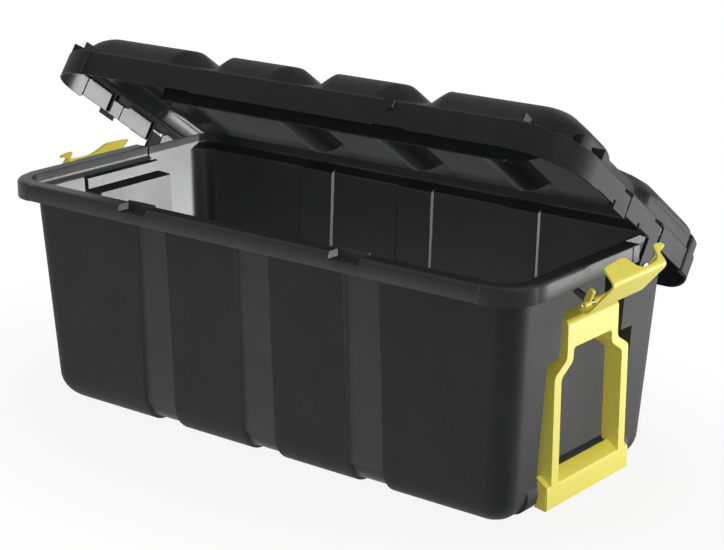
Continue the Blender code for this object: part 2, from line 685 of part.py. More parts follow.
def lid_ring(row, depth):
    """Returns one ring of the lid, seen from above against the clock from the front left.

    Corners are quarter ellipses between the insets of their two sides. depth is the valley's at full
    height, in heights above the shoulder.
    """
    (front_in, front_up), (side_in, side_up), (rear_in, rear_up) = row
    least = WALL * 2

    def lowered(x, height, share):
        above = max(0.0, height - LID_SKIRT - WALL)
        return height - above * valley(x) * share * depth / (LID_RISE - LID_SKIRT - WALL)

    def corner(sign, edge, radius, inset, up, first, last, segments):
        across, along = max(radius - side_in, least), max(radius - inset, least)
        x0 = sign * (HALF_LENGTH - side_in - across)
        y0 = edge + inset + along if edge < 0 else edge - inset - along
        for k in range(segments + 1):
            angle = math.radians(first + (last - first) * k / segments)
            share = math.sin(angle) ** 2
            yield (x0 + across * math.cos(angle), y0 + along * math.sin(angle),
                   LID_BASE + side_up + (up - side_up) * share)

    columns = lid_columns()
    ring = [(x, LID_FRONT + front_in, LID_BASE + lowered(x, front_up, 1)) for x in columns]
    ring += corner(1, LID_FRONT, LID_FRONT_RADIUS, front_in, front_up, -90, 0, LID_FRONT_CORNER_STEPS)
    ring += corner(1, LID_REAR, LID_REAR_RADIUS, rear_in, rear_up, 0, 90, LID_REAR_CORNER_STEPS)
    ring += [(x, LID_REAR - rear_in, LID_BASE + lowered(x, rear_up, LID_REAR_VALLEY)) for x in reversed(columns)]
    ring += corner(-1, LID_REAR, LID_REAR_RADIUS, rear_in, rear_up, 90, 180, LID_REAR_CORNER_STEPS)
    ring += corner(-1, LID_FRONT, LID_FRONT_RADIUS, front_in, front_up, 180, 270, LID_FRONT_CORNER_STEPS)
    return ring


def close_plate(shape, row, height, depth, shallow_until):
    """Fills the lid's last ring: ladder rungs across the valleys, and a flat face at each end."""
    columns = lid_columns()
    count, total = len(columns), len(row)
    front = row[:count]
    first_rear = count + LID_FRONT_CORNER_STEPS + LID_REAR_CORNER_STEPS + 2
    rear = list(reversed(row[first_rear:first_rear + count]))
    rungs = [front]
    for y, share in ((shallow_until - LID_RIDGE_RAMP, 1), (shallow_until, LID_REAR_VALLEY)):
        rungs.append([shape.verts.new((x, y, LID_BASE + height - depth * valley(x) * share)) for x in columns])
    rungs.append(rear)
    for nearer, further in zip(rungs, rungs[1:]):
        for k in range(count - 1):
            shape.faces.new((nearer[k], nearer[k + 1], further[k + 1], further[k]))
    right = row[count - 1:first_rear + 1]
    shape.faces.new(right + [rungs[2][-1], rungs[1][-1]])
    left = row[first_rear + count - 1:total] + [row[0]]
    shape.faces.new(left + [rungs[1][0], rungs[2][0]])


def lid_shell(collection):
    """Returns the lid closed: a skirt, a shoulder and four domes with valleys between them."""
    shape = bmesh.new()
    outer = [[shape.verts.new(point) for point in lid_ring(row, LID_VALLEY_DEPTH)] for row in lid_profile(False)]
    inner = [[shape.verts.new(point) for point in lid_ring(row, LID_RIDGE_DEPTH)] for row in lid_profile(True)]
    rows = list(reversed(inner)) + outer
    for first, second in zip(rows, rows[1:]):
        for k in range(len(first)):
            following = (k + 1) % len(first)
            shape.faces.new((first[k], first[following], second[following], second[k]))
    close_plate(shape, outer[-1], LID_RISE, LID_VALLEY_DEPTH, LID_RIDGE_REAR - LID_RIDGE_WALL)
    close_plate(shape, inner[-1], LID_RISE - WALL, LID_RIDGE_DEPTH, LID_RIDGE_REAR)
    bmesh.ops.recalc_face_normals(shape, faces=shape.faces)
    return object_from("lid", shape, collection)


def inner_lip(cutters):
    """Returns the upright lip inside the lid's front, whose upper edge follows the underside of the domes."""
    inset = LID_LIP_INSET + WALL / 2
    slope, plate = [row[0] for row in lid_profile(True)][3:5]
    share = (inset - slope[0]) / (plate[0] - slope[0])
    under = slope[1] + (plate[1] - slope[1]) * share - LID_SKIRT - WALL
    full = LID_RISE - LID_SKIRT - WALL
    columns = [x for x in lid_columns() if -LID_LIP_LEFT < x < LID_LIP_RIGHT]
    places = [-LID_LIP_LEFT] + columns + [LID_LIP_RIGHT]
    top = [(x, LID_BASE + LID_SKIRT + LID_LIP_RISE + under * (1 - valley(x) * LID_RIDGE_DEPTH / full))
           for x in reversed(places)]
    outline = [(-LID_LIP_LEFT, LID_BASE - LID_LIP_DROP), (LID_LIP_RIGHT, LID_BASE - LID_LIP_DROP)] + top
    front = LID_FRONT + LID_LIP_INSET
    return prism("inner_lip", [outline], "Y", front, front + WALL, cutters)


def make_lid(collection, cutters, material):
    """Makes the lid, turned open on its hinge."""
    lid = lid_shell(collection)
    hinge = (LID_HINGE_Y, LID_HINGE_Z)
    added = [inner_lip(cutters)]
    cut = []
    for sign in (-1, 1):
        outer = HALF_LENGTH - RUNNING_GAP
        ends = sorted((sign * (outer - LID_ARM_THICKNESS), sign * outer))
        foot = arc(hinge, LID_ARM_RADIUS, 180, 360, 10)
        high = LID_BASE + LID_SKIRT / 2
        outline = foot + [(hinge[0] + LID_ARM_RADIUS, high), (hinge[0] - LID_ARM_RADIUS, high)]
        added.append(prism("hinge_arm", [outline], "X", ends[0], ends[1], cutters))
        cut.append(rod("pin_hole", "X", (0,) + hinge, ends[0] - WALL, ends[1] + WALL,
                       LID_PIN_RADIUS + RUNNING_GAP, cutters))
        for side in (-1, 1):
            near, far = sorted((side * CATCH_START, side * CATCH_END))
            outside = HALF_LENGTH + CATCH_STAND
            across = sorted((sign * (HALF_LENGTH - WALL / 2), sign * outside))
            added.append(box("catch", (across[0], near, LID_BASE + RUNNING_GAP),
                             (across[1], far, LID_BASE + CATCH_HEIGHT), cutters))
            if side > 0:
                continue
            across = sorted((sign * (HALF_LENGTH + EAR_CLEARANCE), sign * (outside - RUNNING_GAP)))
            added.append(box("catch_tooth", (across[0], near + RUNNING_GAP, LID_BASE - CATCH_DROP),
                             (across[1], far - RUNNING_GAP, LID_BASE + CATCH_HEIGHT / 2), cutters))
    combine(lid, added, "UNION", cutters)
    combine(lid, cut, "DIFFERENCE", cutters)
    finish(lid, material, (0, LID_HINGE_Y, LID_HINGE_Z))
    pose(lid, Matrix.Translation(lid.location) @ Matrix.Rotation(-LID_OPEN_ANGLE, 4, "X"))
    return lid


def make_lid_pin(sign, name, collection, cutters, material):
    """Makes one headed pin that joins the lid's arm to the tub's boss."""
    centre = (0, LID_HINGE_Y, LID_HINGE_Z)
    inner = wall_at(LID_HINGE_Z)[0] + WALL
    neck = HALF_LENGTH + EAR_CLEARANCE
    ends = sorted((sign * inner, sign * (neck + LID_PIN_HEAD_THICKNESS / 2)))
    head = sorted((sign * neck, sign * (neck + LID_PIN_HEAD_THICKNESS)))
    pin = rod(name, "X", centre, ends[0], ends[1], LID_PIN_RADIUS, collection)
    combine(pin, [rod("pin_head", "X", centre, head[0], head[1], LID_PIN_HEAD_RADIUS, cutters, 24)], "UNION",
            cutters)
    finish(pin, material, centre)
    return pin


def make_latch_pin(sign, name, collection, material):
    """Makes the plain rod that a latch turns on."""
    centre = (sign * LATCH_HINGE.x, 0, LATCH_HINGE.z)
    half = LATCH_HALF_LENGTH - LATCH_BARREL_INSET - EAR_CLEARANCE
    pin = rod(name, "Y", centre, -half, half, LATCH_PIN_RADIUS, collection)
    finish(pin, material, centre)
    return pin


def plate_section(path, thickness):
    """Returns the closed outline of a bent plate: the path moved half a thickness to each side."""
    sides = ([], [])
    for k, point in enumerate(path):
        before = Vector(path[max(k - 1, 0)])
        after = Vector(path[min(k + 1, len(path) - 1)])
        here = Vector(point)
        along = [(here - before).normalized()] if k else []
        along += [(after - here).normalized()] if k < len(path) - 1 else []
        normals = [Vector((-way.y, way.x)) for way in along]
        normal = sum(normals, Vector((0, 0))).normalized()
        reach = thickness / 2 / normal.dot(normals[0])
        sides[0].append(tuple(here + normal * reach))
        sides[1].append(tuple(here - normal * reach))
    return sides[0] + list(reversed(sides[1]))


def latch_path(lip):
    """Returns the middle of the latch's plate when it is closed: foot, bend, fold and lip, as (x, z)."""
    foot = Vector((LATCH_HINGE.x + LATCH_PLATE / 2, LATCH_HINGE.z - LATCH_FOOT_DROP))
    bend = Vector((LATCH_HINGE.x + LATCH_FOOT, LATCH_HINGE.z - LATCH_BEND_DROP))
    fold = Vector((HALF_LENGTH + LATCH_FOLD_OUT, LID_BASE - LATCH_FOLD_DROP))
    tip = Vector((HALF_LENGTH + LATCH_TIP_OUT, LID_BASE + LATCH_TIP_RISE))
    corner = (bend - foot).normalized() * LATCH_BEND
    rise = (fold - bend).normalized()
    over = (tip - fold).normalized()
    return [foot, bend - corner, bend + rise * LATCH_BEND, fold - rise * LATCH_BEND,
            fold + over * LATCH_BEND * LATCH_FOLD_SHARE, fold + over * (tip - fold).length * lip]


def latch_body(name, collection):
    """Returns the latch's plate, closed: one section along the latch, whose lip is longer near its ends."""
    half = LATCH_HALF_LENGTH
    stations = [(-share, lip) for share, lip in reversed(LATCH_LIP[1:])] + list(LATCH_LIP)
    shape = bmesh.new()
    rows = []
    for share, lip in stations:
        outline = plate_section(latch_path(lip), LATCH_PLATE)
        rows.append([shape.verts.new((x, share * half, z)) for x, z in outline])
    for first, second in zip(rows, rows[1:]):
        for k in range(len(first)):
            following = (k + 1) % len(first)
            shape.faces.new((first[k], first[following], second[following], second[k]))
    shape.faces.new(rows[0])
    shape.faces.new(rows[-1])
    bmesh.ops.recalc_face_normals(shape, faces=shape.faces)
    return object_from(name, shape, collection)


def make_latch(sign, name, collection, cutters, material):
    """Makes one latch for the right end, turned open, and turns it round for the left end."""
    latch = latch_body(name, collection)
    centre = tuple(LATCH_HINGE)
    half, post = LATCH_HALF_LENGTH, LATCH_POST_WIDTH / 2 + EAR_CLEARANCE
    added, cut = [], []
    barrel = half - LATCH_BARREL_INSET
    spans = [(-barrel, -LATCH_POST_CENTRE - post), (-LATCH_POST_CENTRE + post, LATCH_POST_CENTRE - post),
             (LATCH_POST_CENTRE + post, barrel)]
    for start, end in spans:
        added.append(rod("latch_barrel", "Y", centre, start, end, LATCH_BARREL_RADIUS, cutters))
    for side in (-1, 1):
        middle = side * LATCH_POST_CENTRE
        cut.append(rod("post_gap", "Y", centre, middle - post, middle + post, LATCH_BARREL_RADIUS + EAR_CLEARANCE,
                       cutters))
        prong = side * LATCH_PRONG_CENTRE
        outline = [(-LATCH_PRONG_BACK, LATCH_BARREL_RADIUS), (LATCH_PLATE, -LATCH_BARREL_RADIUS / 2),
                   (LATCH_PRONG_TOP_FRONT, LATCH_PRONG_FRONT_HEIGHT), (-LATCH_PRONG_TOP_BACK, LATCH_PRONG_HEIGHT)]
        outline = [(LATCH_HINGE.x + x, LATCH_HINGE.z + z) for x, z in outline]
        added.append(prism("prong", [outline], "Y", prong - LATCH_PRONG_WIDTH / 2, prong + LATCH_PRONG_WIDTH / 2,
                           cutters))
    cut.append(rod("pin_bore", "Y", centre, -half - OVERLAP, half + OVERLAP, LATCH_PIN_RADIUS + RUNNING_GAP,
                   cutters))
    combine(latch, added, "UNION", cutters)
    combine(latch, cut, "DIFFERENCE", cutters)
    place = (LATCH_HINGE.x, 0, LATCH_HINGE.z)
    finish(latch, material, place)
    stand_on_end(latch, sign, LATCH_REST_ANGLE)
    return latch


def stand_on_end(item, sign, tilt=0.0):
    """Tilts a right-hand piece outwards on its hinge, and for the left end turns it half round the trunk."""
    turn = Matrix.Rotation(math.pi if sign < 0 else 0.0, 4, "Z")
    pose(item, turn @ Matrix.Translation(item.location) @ Matrix.Rotation(tilt, 4, "Y"))


def handle_arch(inset):
    """Returns the pull handle's arch seen from the end, as (y, z), drawn in by inset on every side."""
    outer, narrow = HANDLE_HALF_WIDTH - inset, HANDLE_TOP_HALF_WIDTH - inset
    inner, opening = HANDLE_HALF_WIDTH - HANDLE_RAIL + inset, HANDLE_TOP_HALF_WIDTH - HANDLE_TOP_RAIL + inset
    low = HANDLE_HINGE.z + CROSSBAR_TOP / 2 + 4 * inset
    step = HANDLE_SHOULDER - HANDLE_SHOULDER_HEIGHT
    opening_top = HANDLE_TOP - HANDLE_TOP_BAR + inset
    right = [(outer, low), (outer, step), (narrow, HANDLE_SHOULDER - inset), (narrow, HANDLE_TOP - inset)]
    lower = HANDLE_OPENING_STEP * HANDLE_SHOULDER_HEIGHT - inset
    under = [(opening, opening_top), (opening, HANDLE_SHOULDER - lower), (inner, step - lower), (inner, low)]
    left = [(-y, z) for y, z in reversed(right)]
    return right + left + [(-y, z) for y, z in reversed(under)] + under


def crossbar_section():
    """Returns the foot bar's outline as (x, z), without the hollow that clears the barrel."""
    x, z = HANDLE_HINGE.x, HANDLE_HINGE.z
    hollow = BARREL_RADIUS + BARREL_CLEARANCE
    return [(x + HANDLE_FRONT, z - CROSSBAR_BOTTOM), (x + HANDLE_FRONT, z + CROSSBAR_TOP),
            (x + hollow * CROSSBAR_SLOPE_REACH, z + CROSSBAR_TOP + CROSSBAR_SLOPE_RISE),
            (x + hollow * CROSSBAR_HEEL_REACH, z),
            (x + hollow * CROSSBAR_TOE_REACH, z - hollow * CROSSBAR_TOE_REACH),
            (x + HANDLE_FRONT - WALL, z - CROSSBAR_BOTTOM - WALL / 2)]


def make_handle(sign, name, collection, cutters, material):
    """Makes one pull handle for the right end, and turns it round for the left end."""
    x, z = HANDLE_HINGE.x, HANDLE_HINGE.z
    front = x + HANDLE_FRONT
    back = front - HANDLE_DEPTH
    handle = prism(name, [handle_arch(0.0)], "X", back, front, collection)
    pocket = prism("pocket", [handle_arch(HANDLE_WALL)], "X", back - OVERLAP, front - HANDLE_WALL, cutters)
    round_x, round_z = front - HANDLE_BULLNOSE, HANDLE_TOP - HANDLE_BULLNOSE
    nose = arc((round_x, round_z), HANDLE_BULLNOSE, 0, 90, 6)
    nose = [(front + OVERLAP, round_z)] + nose + [(round_x, HANDLE_TOP + OVERLAP),
                                                  (front + OVERLAP, HANDLE_TOP + OVERLAP)]
    wide = HANDLE_TOP_HALF_WIDTH + OVERLAP
    combine(handle, [pocket, prism("bullnose", [nose], "Y", -wide, wide, cutters)], "DIFFERENCE", cutters)
    bar = EAR_OUTER - RUNNING_GAP
    combine(handle, [prism("crossbar", [crossbar_section()], "Y", -bar, bar, cutters)], "UNION", cutters)
    centre = (x, 0, z)
    clear = EAR_OUTER + OVERLAP
    combine(handle, [rod("barrel_room", "Y", centre, -clear, clear, BARREL_RADIUS + BARREL_CLEARANCE, cutters,
                         32)], "DIFFERENCE", cutters)
    ear = arc((x, z), HANDLE_EYE_RADIUS, HANDLE_EAR_FIRST, HANDLE_EAR_LAST, 10)
    ear += [(front - WALL, z - CROSSBAR_BOTTOM + WALL), (front - WALL, z + HANDLE_EAR_RISE)]
    added = []
    for side in (-1, 1):
        ends = sorted((side * EAR_INNER, side * EAR_OUTER))
        stub = sorted((side * (EAR_OUTER - WALL), side * (EAR_OUTER + HANDLE_STUB_LENGTH)))
        added.append(prism("ear", [ear], "Y", ends[0], ends[1], cutters))
        added.append(rod("stub", "Y", centre, stub[0], stub[1], HANDLE_STUB_RADIUS, cutters))
    combine(handle, added, "UNION", cutters)
    finish(handle, material, centre)
    stand_on_end(handle, sign)
    return handle


def main():
    """Makes every piece."""
    clear_scene()
    parts = new_collection("storage_trunk")
    cutters = new_collection("cutters")
    black = plastic("black_plastic", BLACK, 0.55)
    yellow = plastic("yellow_plastic", YELLOW, 0.4)
    steel = plastic("pin_steel", STEEL, 0.35, 1.0)
    make_tub(parts, cutters, black)
    make_lid(parts, cutters, black)
    for sign, side in ((-1, "left"), (1, "right")):
        make_lid_pin(sign, "lid_pin_" + side, parts, cutters, steel)
        make_latch(sign, "latch_" + side, parts, cutters, yellow)
        make_latch_pin(sign, "latch_pin_" + side, parts, steel)
        make_handle(sign, "handle_" + side, parts, cutters, yellow)


main()
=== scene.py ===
"""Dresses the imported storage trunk: a black moulded tub and lid with yellow end latches and pull handles.

The CAD model is the fixed frame. Every shape here is worked out in metres in that frame, +Z up, with the
trunk's right end at +X and its front at -Y. The lid's shapes are worked out closed, and turned open at
the end.
"""

from dataclasses import dataclass, field
from enum import Enum, IntEnum
import json
import logging
import math
from typing import Any, Iterable, Sequence, Union

import bmesh
import bpy
from mathutils import Matrix, Vector
import numpy as np


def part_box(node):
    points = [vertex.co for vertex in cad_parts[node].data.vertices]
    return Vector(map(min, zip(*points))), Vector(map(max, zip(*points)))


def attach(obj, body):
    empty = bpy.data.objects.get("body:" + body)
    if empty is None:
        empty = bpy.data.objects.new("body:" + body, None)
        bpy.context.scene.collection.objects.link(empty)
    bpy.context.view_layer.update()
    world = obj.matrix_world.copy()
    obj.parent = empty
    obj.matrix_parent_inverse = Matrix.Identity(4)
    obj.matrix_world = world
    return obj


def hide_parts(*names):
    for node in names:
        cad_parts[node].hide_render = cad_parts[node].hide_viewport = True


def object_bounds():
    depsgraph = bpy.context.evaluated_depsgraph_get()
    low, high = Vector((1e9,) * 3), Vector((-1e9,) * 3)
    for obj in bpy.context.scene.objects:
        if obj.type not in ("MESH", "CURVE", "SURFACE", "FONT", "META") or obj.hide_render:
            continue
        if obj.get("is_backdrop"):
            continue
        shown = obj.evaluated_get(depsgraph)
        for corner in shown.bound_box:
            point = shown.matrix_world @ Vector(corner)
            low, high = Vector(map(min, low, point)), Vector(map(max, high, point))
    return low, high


Array = np.ndarray
LOG = logging.getLogger("trunk")

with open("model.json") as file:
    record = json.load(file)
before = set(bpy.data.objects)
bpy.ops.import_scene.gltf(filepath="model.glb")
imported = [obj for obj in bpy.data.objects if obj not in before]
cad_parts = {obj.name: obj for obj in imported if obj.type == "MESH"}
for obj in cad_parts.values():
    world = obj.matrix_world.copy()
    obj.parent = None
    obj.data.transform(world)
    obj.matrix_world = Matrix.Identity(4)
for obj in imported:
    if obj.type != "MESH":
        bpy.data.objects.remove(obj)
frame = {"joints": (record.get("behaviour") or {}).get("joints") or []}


class End(Enum):
    """The two ends of the trunk, by the sign of X."""

    LEFT = -1
    RIGHT = 1

    @property
    def word(self) -> str:
        """The end's name as node names spell it."""
        return self.name.lower()


class Skin(IntEnum):
    """The finishes of a black moulding, by their place among its materials."""

    PANEL = 0
    SMOOTH = 1
    RIM = 2


class Socket:
    """One output of a shader node. Arithmetic on sockets adds Math nodes."""

    def __init__(self, graph: "Graph", output: bpy.types.NodeSocket) -> None:
        """Wraps an output socket of a graph."""
        self.graph = graph
        self.output = output

    def _math(self, operation: str, first: Any, second: Any = None, clamp: bool = False) -> "Socket":
        """Returns a Math node's result.

        Args:
            operation: the Math node's operation.
            first: a socket or a number.
            second: a socket, a number or None.
            clamp: whether the result is held between 0 and 1.

        Returns:
            The node's output.
        """
        values = {0: first} if second is None else {0: first, 1: second}
        return self.graph.node("ShaderNodeMath", {"operation": operation, "use_clamp": clamp}, values)

    def __add__(self, other: Any) -> "Socket":
        """Sum."""
        return self._math("ADD", self, other)

    def __radd__(self, other: Any) -> "Socket":
        """Sum, reflected."""
        return self._math("ADD", other, self)

    def __sub__(self, other: Any) -> "Socket":
        """Difference."""
        return self._math("SUBTRACT", self, other)

    def __rsub__(self, other: Any) -> "Socket":
        """Difference, reflected."""
        return self._math("SUBTRACT", other, self)

    def __mul__(self, other: Any) -> "Socket":
        """Product."""
        return self._math("MULTIPLY", self, other)

    def __rmul__(self, other: Any) -> "Socket":
        """Product, reflected."""
        return self._math("MULTIPLY", other, self)

    def clamped(self) -> "Socket":
        """The value held between 0 and 1."""
        return self._math("ADD", self, 0.0, clamp=True)


class Graph:
    """The node tree of one material."""

    def __init__(self, name: str) -> None:
        """Makes an empty material with an output node."""
        self.material = bpy.data.materials.new(name)
        self.material.use_nodes = True
        self.tree = self.material.node_tree
        self.tree.nodes.clear()
        self.end = self.tree.nodes.new("ShaderNodeOutputMaterial")

    def node(self, kind: str, settings: dict[str, Any], inputs: dict[Any, Any], output: Any = 0) -> Socket:
        """Adds any node.

        Args:
            kind: the node's type.
            settings: properties set first. "stops" fills a colour ramp with (place, colour) pairs.
            inputs: a value, or a socket to link, for each input by name or number.
            output: the output that is returned, by name or number.

        Returns:
            The chosen output.
        """
        made = self.tree.nodes.new(kind)
        for name, value in settings.items():
            if name == "stops":
                self._fill_ramp(made.color_ramp, value)
            else:
                setattr(made, name, value)
        for name, value in inputs.items():
            if isinstance(value, Socket):
                self.tree.links.new(value.output, made.inputs[name])
            else:
                made.inputs[name].default_value = value
        return Socket(self, made.outputs[output])

    @staticmethod
    def _fill_ramp(ramp: bpy.types.ColorRamp, stops: Sequence[tuple[float, Sequence[float]]]) -> None:
        """Sets a colour ramp's stops."""
        while len(ramp.elements) > 1:
            ramp.elements.remove(ramp.elements[-1])
        for k, (place, colour) in enumerate(stops):
            stop = ramp.elements[0] if k == 0 else ramp.elements.new(place)
            stop.position = place
            stop.color = tuple(colour) + (1.0,) if len(colour) == 3 else tuple(colour)

    def place(self, scale: Sequence[float] = (1, 1, 1)) -> Socket:
        """Object coordinates through a Mapping node that scales them along each axis."""
        here = self.node("ShaderNodeTexCoord", {}, {}, "Object")
        return self.node("ShaderNodeMapping", {}, {"Vector": here, "Scale": scale})

    def noise(self, scale: float, detail: float = 3.0, roughness: float = 0.5,
              coordinates: Union[Socket, None] = None) -> Socket:
        """Noise between 0 and 1 on Object coordinates.

        Args:
            scale: cells in a metre.
            detail: octaves.
            roughness: how strong the finer octaves are.
            coordinates: other coordinates than the plain ones.

        Returns:
            The noise's value.
        """
        where = coordinates or self.place()
        inputs = {"Vector": where, "Scale": scale, "Detail": detail, "Roughness": roughness}
        return self.node("ShaderNodeTexNoise", {}, inputs, "Fac")

    def ramp(self, value: Socket, black: float, white: float) -> Socket:
        """A colour ramp from black at one value to white at another."""
        stops = [(black, (0, 0, 0)), (white, (1, 1, 1))]
        return self.node("ShaderNodeValToRGB", {"stops": stops}, {"Fac": value})

    def blend(self, share: Any, first: Any, second: Any) -> Socket:
        """A colour between two, by share."""
        inputs = {"Factor": share, 6: first, 7: second}
        return self.node("ShaderNodeMix", {"data_type": "RGBA"}, inputs, 2)

    def bump(self, height: Socket, strength: float, distance: float) -> Socket:
        """A Bump node's normal."""
        inputs = {"Height": height, "Strength": strength, "Distance": distance}
        return self.node("ShaderNodeBump", {}, inputs)

    def finish(self, surface: Socket) -> bpy.types.Material:
        """Links the surface to the output and returns the material."""
        self.tree.links.new(surface.output, self.end.inputs["Surface"])
        return self.material


@dataclass(frozen=True)
class MouldedPlastic:
    """Injection-moulded polypropylene: a pigment, a sheen, and the grain that the mould gave it.

    The grain is two layers of noise on Object coordinates: fine pits, and a slow waviness that breaks up
    reflections. Pits are darker and rougher than the skin between them. Rubbed patches are a little paler.
    """

    name: str
    pigment: tuple[float, float, float]
    rubbed: tuple[float, float, float]
    roughness: float
    grain_size: float
    grain_depth: float
    grain_contrast: float
    specular: float
    wave_size: float = 0.09
    wave_depth: float = 0.00025
    waves_in_wear: float = 3.1
    pit_range: tuple[float, float] = (0.36, 0.68)
    wear_range: tuple[float, float] = (0.52, 0.80)
    wear_share: float = 0.35
    pit_dulling: float = 0.16
    wave_dulling: float = 0.10
    pit_strength: float = 0.55
    wave_strength: float = 0.5

    def build(self) -> bpy.types.Material:
        """Returns the material."""
        graph = Graph(self.name)
        pits = graph.noise(1 / self.grain_size, 2.5, 0.62)
        waves = graph.noise(1 / self.wave_size, 2.0, 0.45)
        wear = graph.noise(self.waves_in_wear / self.wave_size, 5.0, 0.68)
        speck = graph.ramp(pits, *self.pit_range)
        worn = graph.ramp(wear, *self.wear_range)
        dark = tuple(part * (1 - self.grain_contrast) for part in self.pigment) + (1.0,)
        light = tuple(part * (1 + self.grain_contrast) for part in self.pigment) + (1.0,)
        skin = graph.blend(speck, dark, light)
        colour = graph.blend(worn * self.wear_share, skin, self.rubbed + (1.0,))
        rough = self.roughness + (0.5 - pits) * self.pit_dulling + (waves - 0.5) * self.wave_dulling
        rough = rough.clamped()
        pitted = graph.bump(pits, self.pit_strength, self.grain_depth)
        inputs = {"Height": waves, "Strength": self.wave_strength, "Distance": self.wave_depth,
                  "Normal": pitted}
        normal = graph.node("ShaderNodeBump", {}, inputs)
        shader = graph.node("ShaderNodeBsdfPrincipled", {}, {
            "Base Color": colour, "Roughness": rough, "Normal": normal, "IOR": 1.49,
            "Specular IOR Level": self.specular})
        return graph.finish(shader)


@dataclass(frozen=True)
class DrawnSteel:
    """Drawn steel wire: fine lines along the rod, which lies along one axis."""

    name: str
    colour: tuple[float, float, float]
    roughness: float
    along: int
    lines_across: float = 900.0
    lines_along: float = 12.0
    line_depth: float = 0.0001
    line_dulling: float = 0.3
    stain_scale: float = 160.0
    stain_start: float = 0.35
    stained: float = 0.55

    def build(self) -> bpy.types.Material:
        """Returns the material."""
        graph = Graph(self.name)
        scale = [self.lines_across] * 3
        scale[self.along] = self.lines_along
        lines = graph.noise(1.0, 4.0, 0.6, graph.place(scale))
        stain = graph.noise(self.stain_scale, 4.0, 0.6)
        dull = tuple(part * self.stained for part in self.colour) + (1.0,)
        colour = graph.blend((stain - self.stain_start).clamped(), self.colour + (1.0,), dull)
        rough = (self.roughness + (lines - 0.5) * self.line_dulling).clamped()
        shader = graph.node("ShaderNodeBsdfPrincipled", {}, {
            "Base Color": colour, "Roughness": rough, "Metallic": 1.0,
            "Normal": graph.bump(lines, 0.4, self.line_depth)})
        return graph.finish(shader)


@dataclass(frozen=True)
class StudioFloor:
    """A pale matt floor that runs out into a white background, and keeps the trunk's shadow near it."""

    name: str = "studio_floor"
    tone: float = 0.62
    shadow_reach: float = 1.05
    fade: float = 0.55
    squeeze: float = 1.6
    whiteness: float = 0.90

    def build(self) -> bpy.types.Material:
        """Returns the material."""
        graph = Graph(self.name)
        mottle = graph.noise(3.0, 3.0, 0.5)
        low, high = (self.tone * 0.98,) * 3 + (1.0,), (self.tone,) * 3 + (1.0,)
        matt = graph.node("ShaderNodeBsdfDiffuse", {}, {"Color": graph.blend(mottle, low, high)})
        white = graph.node("ShaderNodeEmission", {}, {"Color": (1, 1, 1, 1), "Strength": 1.0})
        place = graph.place((1.0, self.squeeze, 1.0))
        distance = graph.node("ShaderNodeVectorMath", {"operation": "LENGTH"}, {0: place}, "Value")
        far = ((distance - (self.shadow_reach - self.fade)) * (1 / self.fade)).clamped()
        seen = [graph.node("ShaderNodeLightPath", {}, {}, ray)
                for ray in ("Is Camera Ray", "Is Glossy Ray", "Is Transmission Ray")]
        share = (far * (1 - self.whiteness) + self.whiteness).clamped()
        share = share * (seen[0] + seen[1] + seen[2]).clamped()
        surface = graph.node("ShaderNodeMixShader", {}, {0: share, 1: matt, 2: white})
        return graph.finish(surface)


def unit(rows: Array) -> Array:
    """Rows of vectors scaled to length 1."""
    return rows / np.maximum(np.linalg.norm(rows, axis=-1, keepdims=True), 1e-12)


def arc_points(centre: Sequence[float], radius: float, first: float, last: float, segments: int) -> Array:
    """Points on an arc: the centre plus the radius along each angle.

    Args:
        centre: the arc's centre in its plane.
        radius: its radius.
        first: the first angle in degrees.
        last: the last angle in degrees.
        segments: how many pieces it is cut into.

    Returns:
        (segments + 1, 2) points.
    """
    angles = np.radians(np.linspace(first, last, segments + 1))
    return np.stack([centre[0] + radius * np.cos(angles), centre[1] + radius * np.sin(angles)], 1)


def smooth_step(value: Array, first: float, last: float) -> Array:
    """A rise from 0 at first to 1 at last along the curve 3t^2 - 2t^3."""
    share = np.clip((np.asarray(value, float) - first) / (last - first), 0.0, 1.0)
    return share * share * (3 - 2 * share)


def bump_between(value: Array, low: float, high: float, edge: float) -> Array:
    """1 between low and high, falling to 0 over edge on both sides."""
    return smooth_step(value, low - edge, low) * (1 - smooth_step(value, high, high + edge))


def near_any(x: Array, centres: Sequence[float], half: float, edge: float) -> Array:
    """1 within half of any centre, else 0, turning over edge on both sides of it."""
    reach = np.min([np.abs(x - centre) for centre in centres], axis=0)
    return 1 - smooth_step(reach, half - edge, half + edge)


def mirrored(start: float, end: float) -> list[tuple[float, float]]:
    """A span and its mirror image about 0."""
    return [(start, end), (-end, -start)]


def quadratic(start: Array, corner: Array, end: Array, share: Union[float, Array]) -> Array:
    """The place at a share of the way along the quadratic curve from start to end, drawn to corner."""
    return start * (1 - share) ** 2 + 2 * corner * share * (1 - share) + end * share ** 2


def eased(outline: Array, radius: float, segments: int = 3) -> Array:
    """A closed outline with its corners rounded.

    Each corner is replaced by a quadratic curve that starts and ends at radius from it, or at 0.4 of the
    shorter side where that is less.

    Args:
        outline: (n, 2) points in order.
        radius: how far from the corner the curve starts.
        segments: pieces in each curve.

    Returns:
        The rounded outline's points.
    """
    before = np.roll(outline, 1, axis=0) - outline
    after = np.roll(outline, -1, axis=0) - outline
    shorter = np.minimum(np.linalg.norm(before, axis=1), np.linalg.norm(after, axis=1))
    reach = np.minimum(radius, 0.4 * shorter)
    start = outline + unit(before) * reach[:, None]
    end = outline + unit(after) * reach[:, None]
    share = np.linspace(0, 1, segments + 1)[None, :, None]
    return quadratic(start[:, None], outline[:, None], end[:, None], share).reshape(-1, 2)


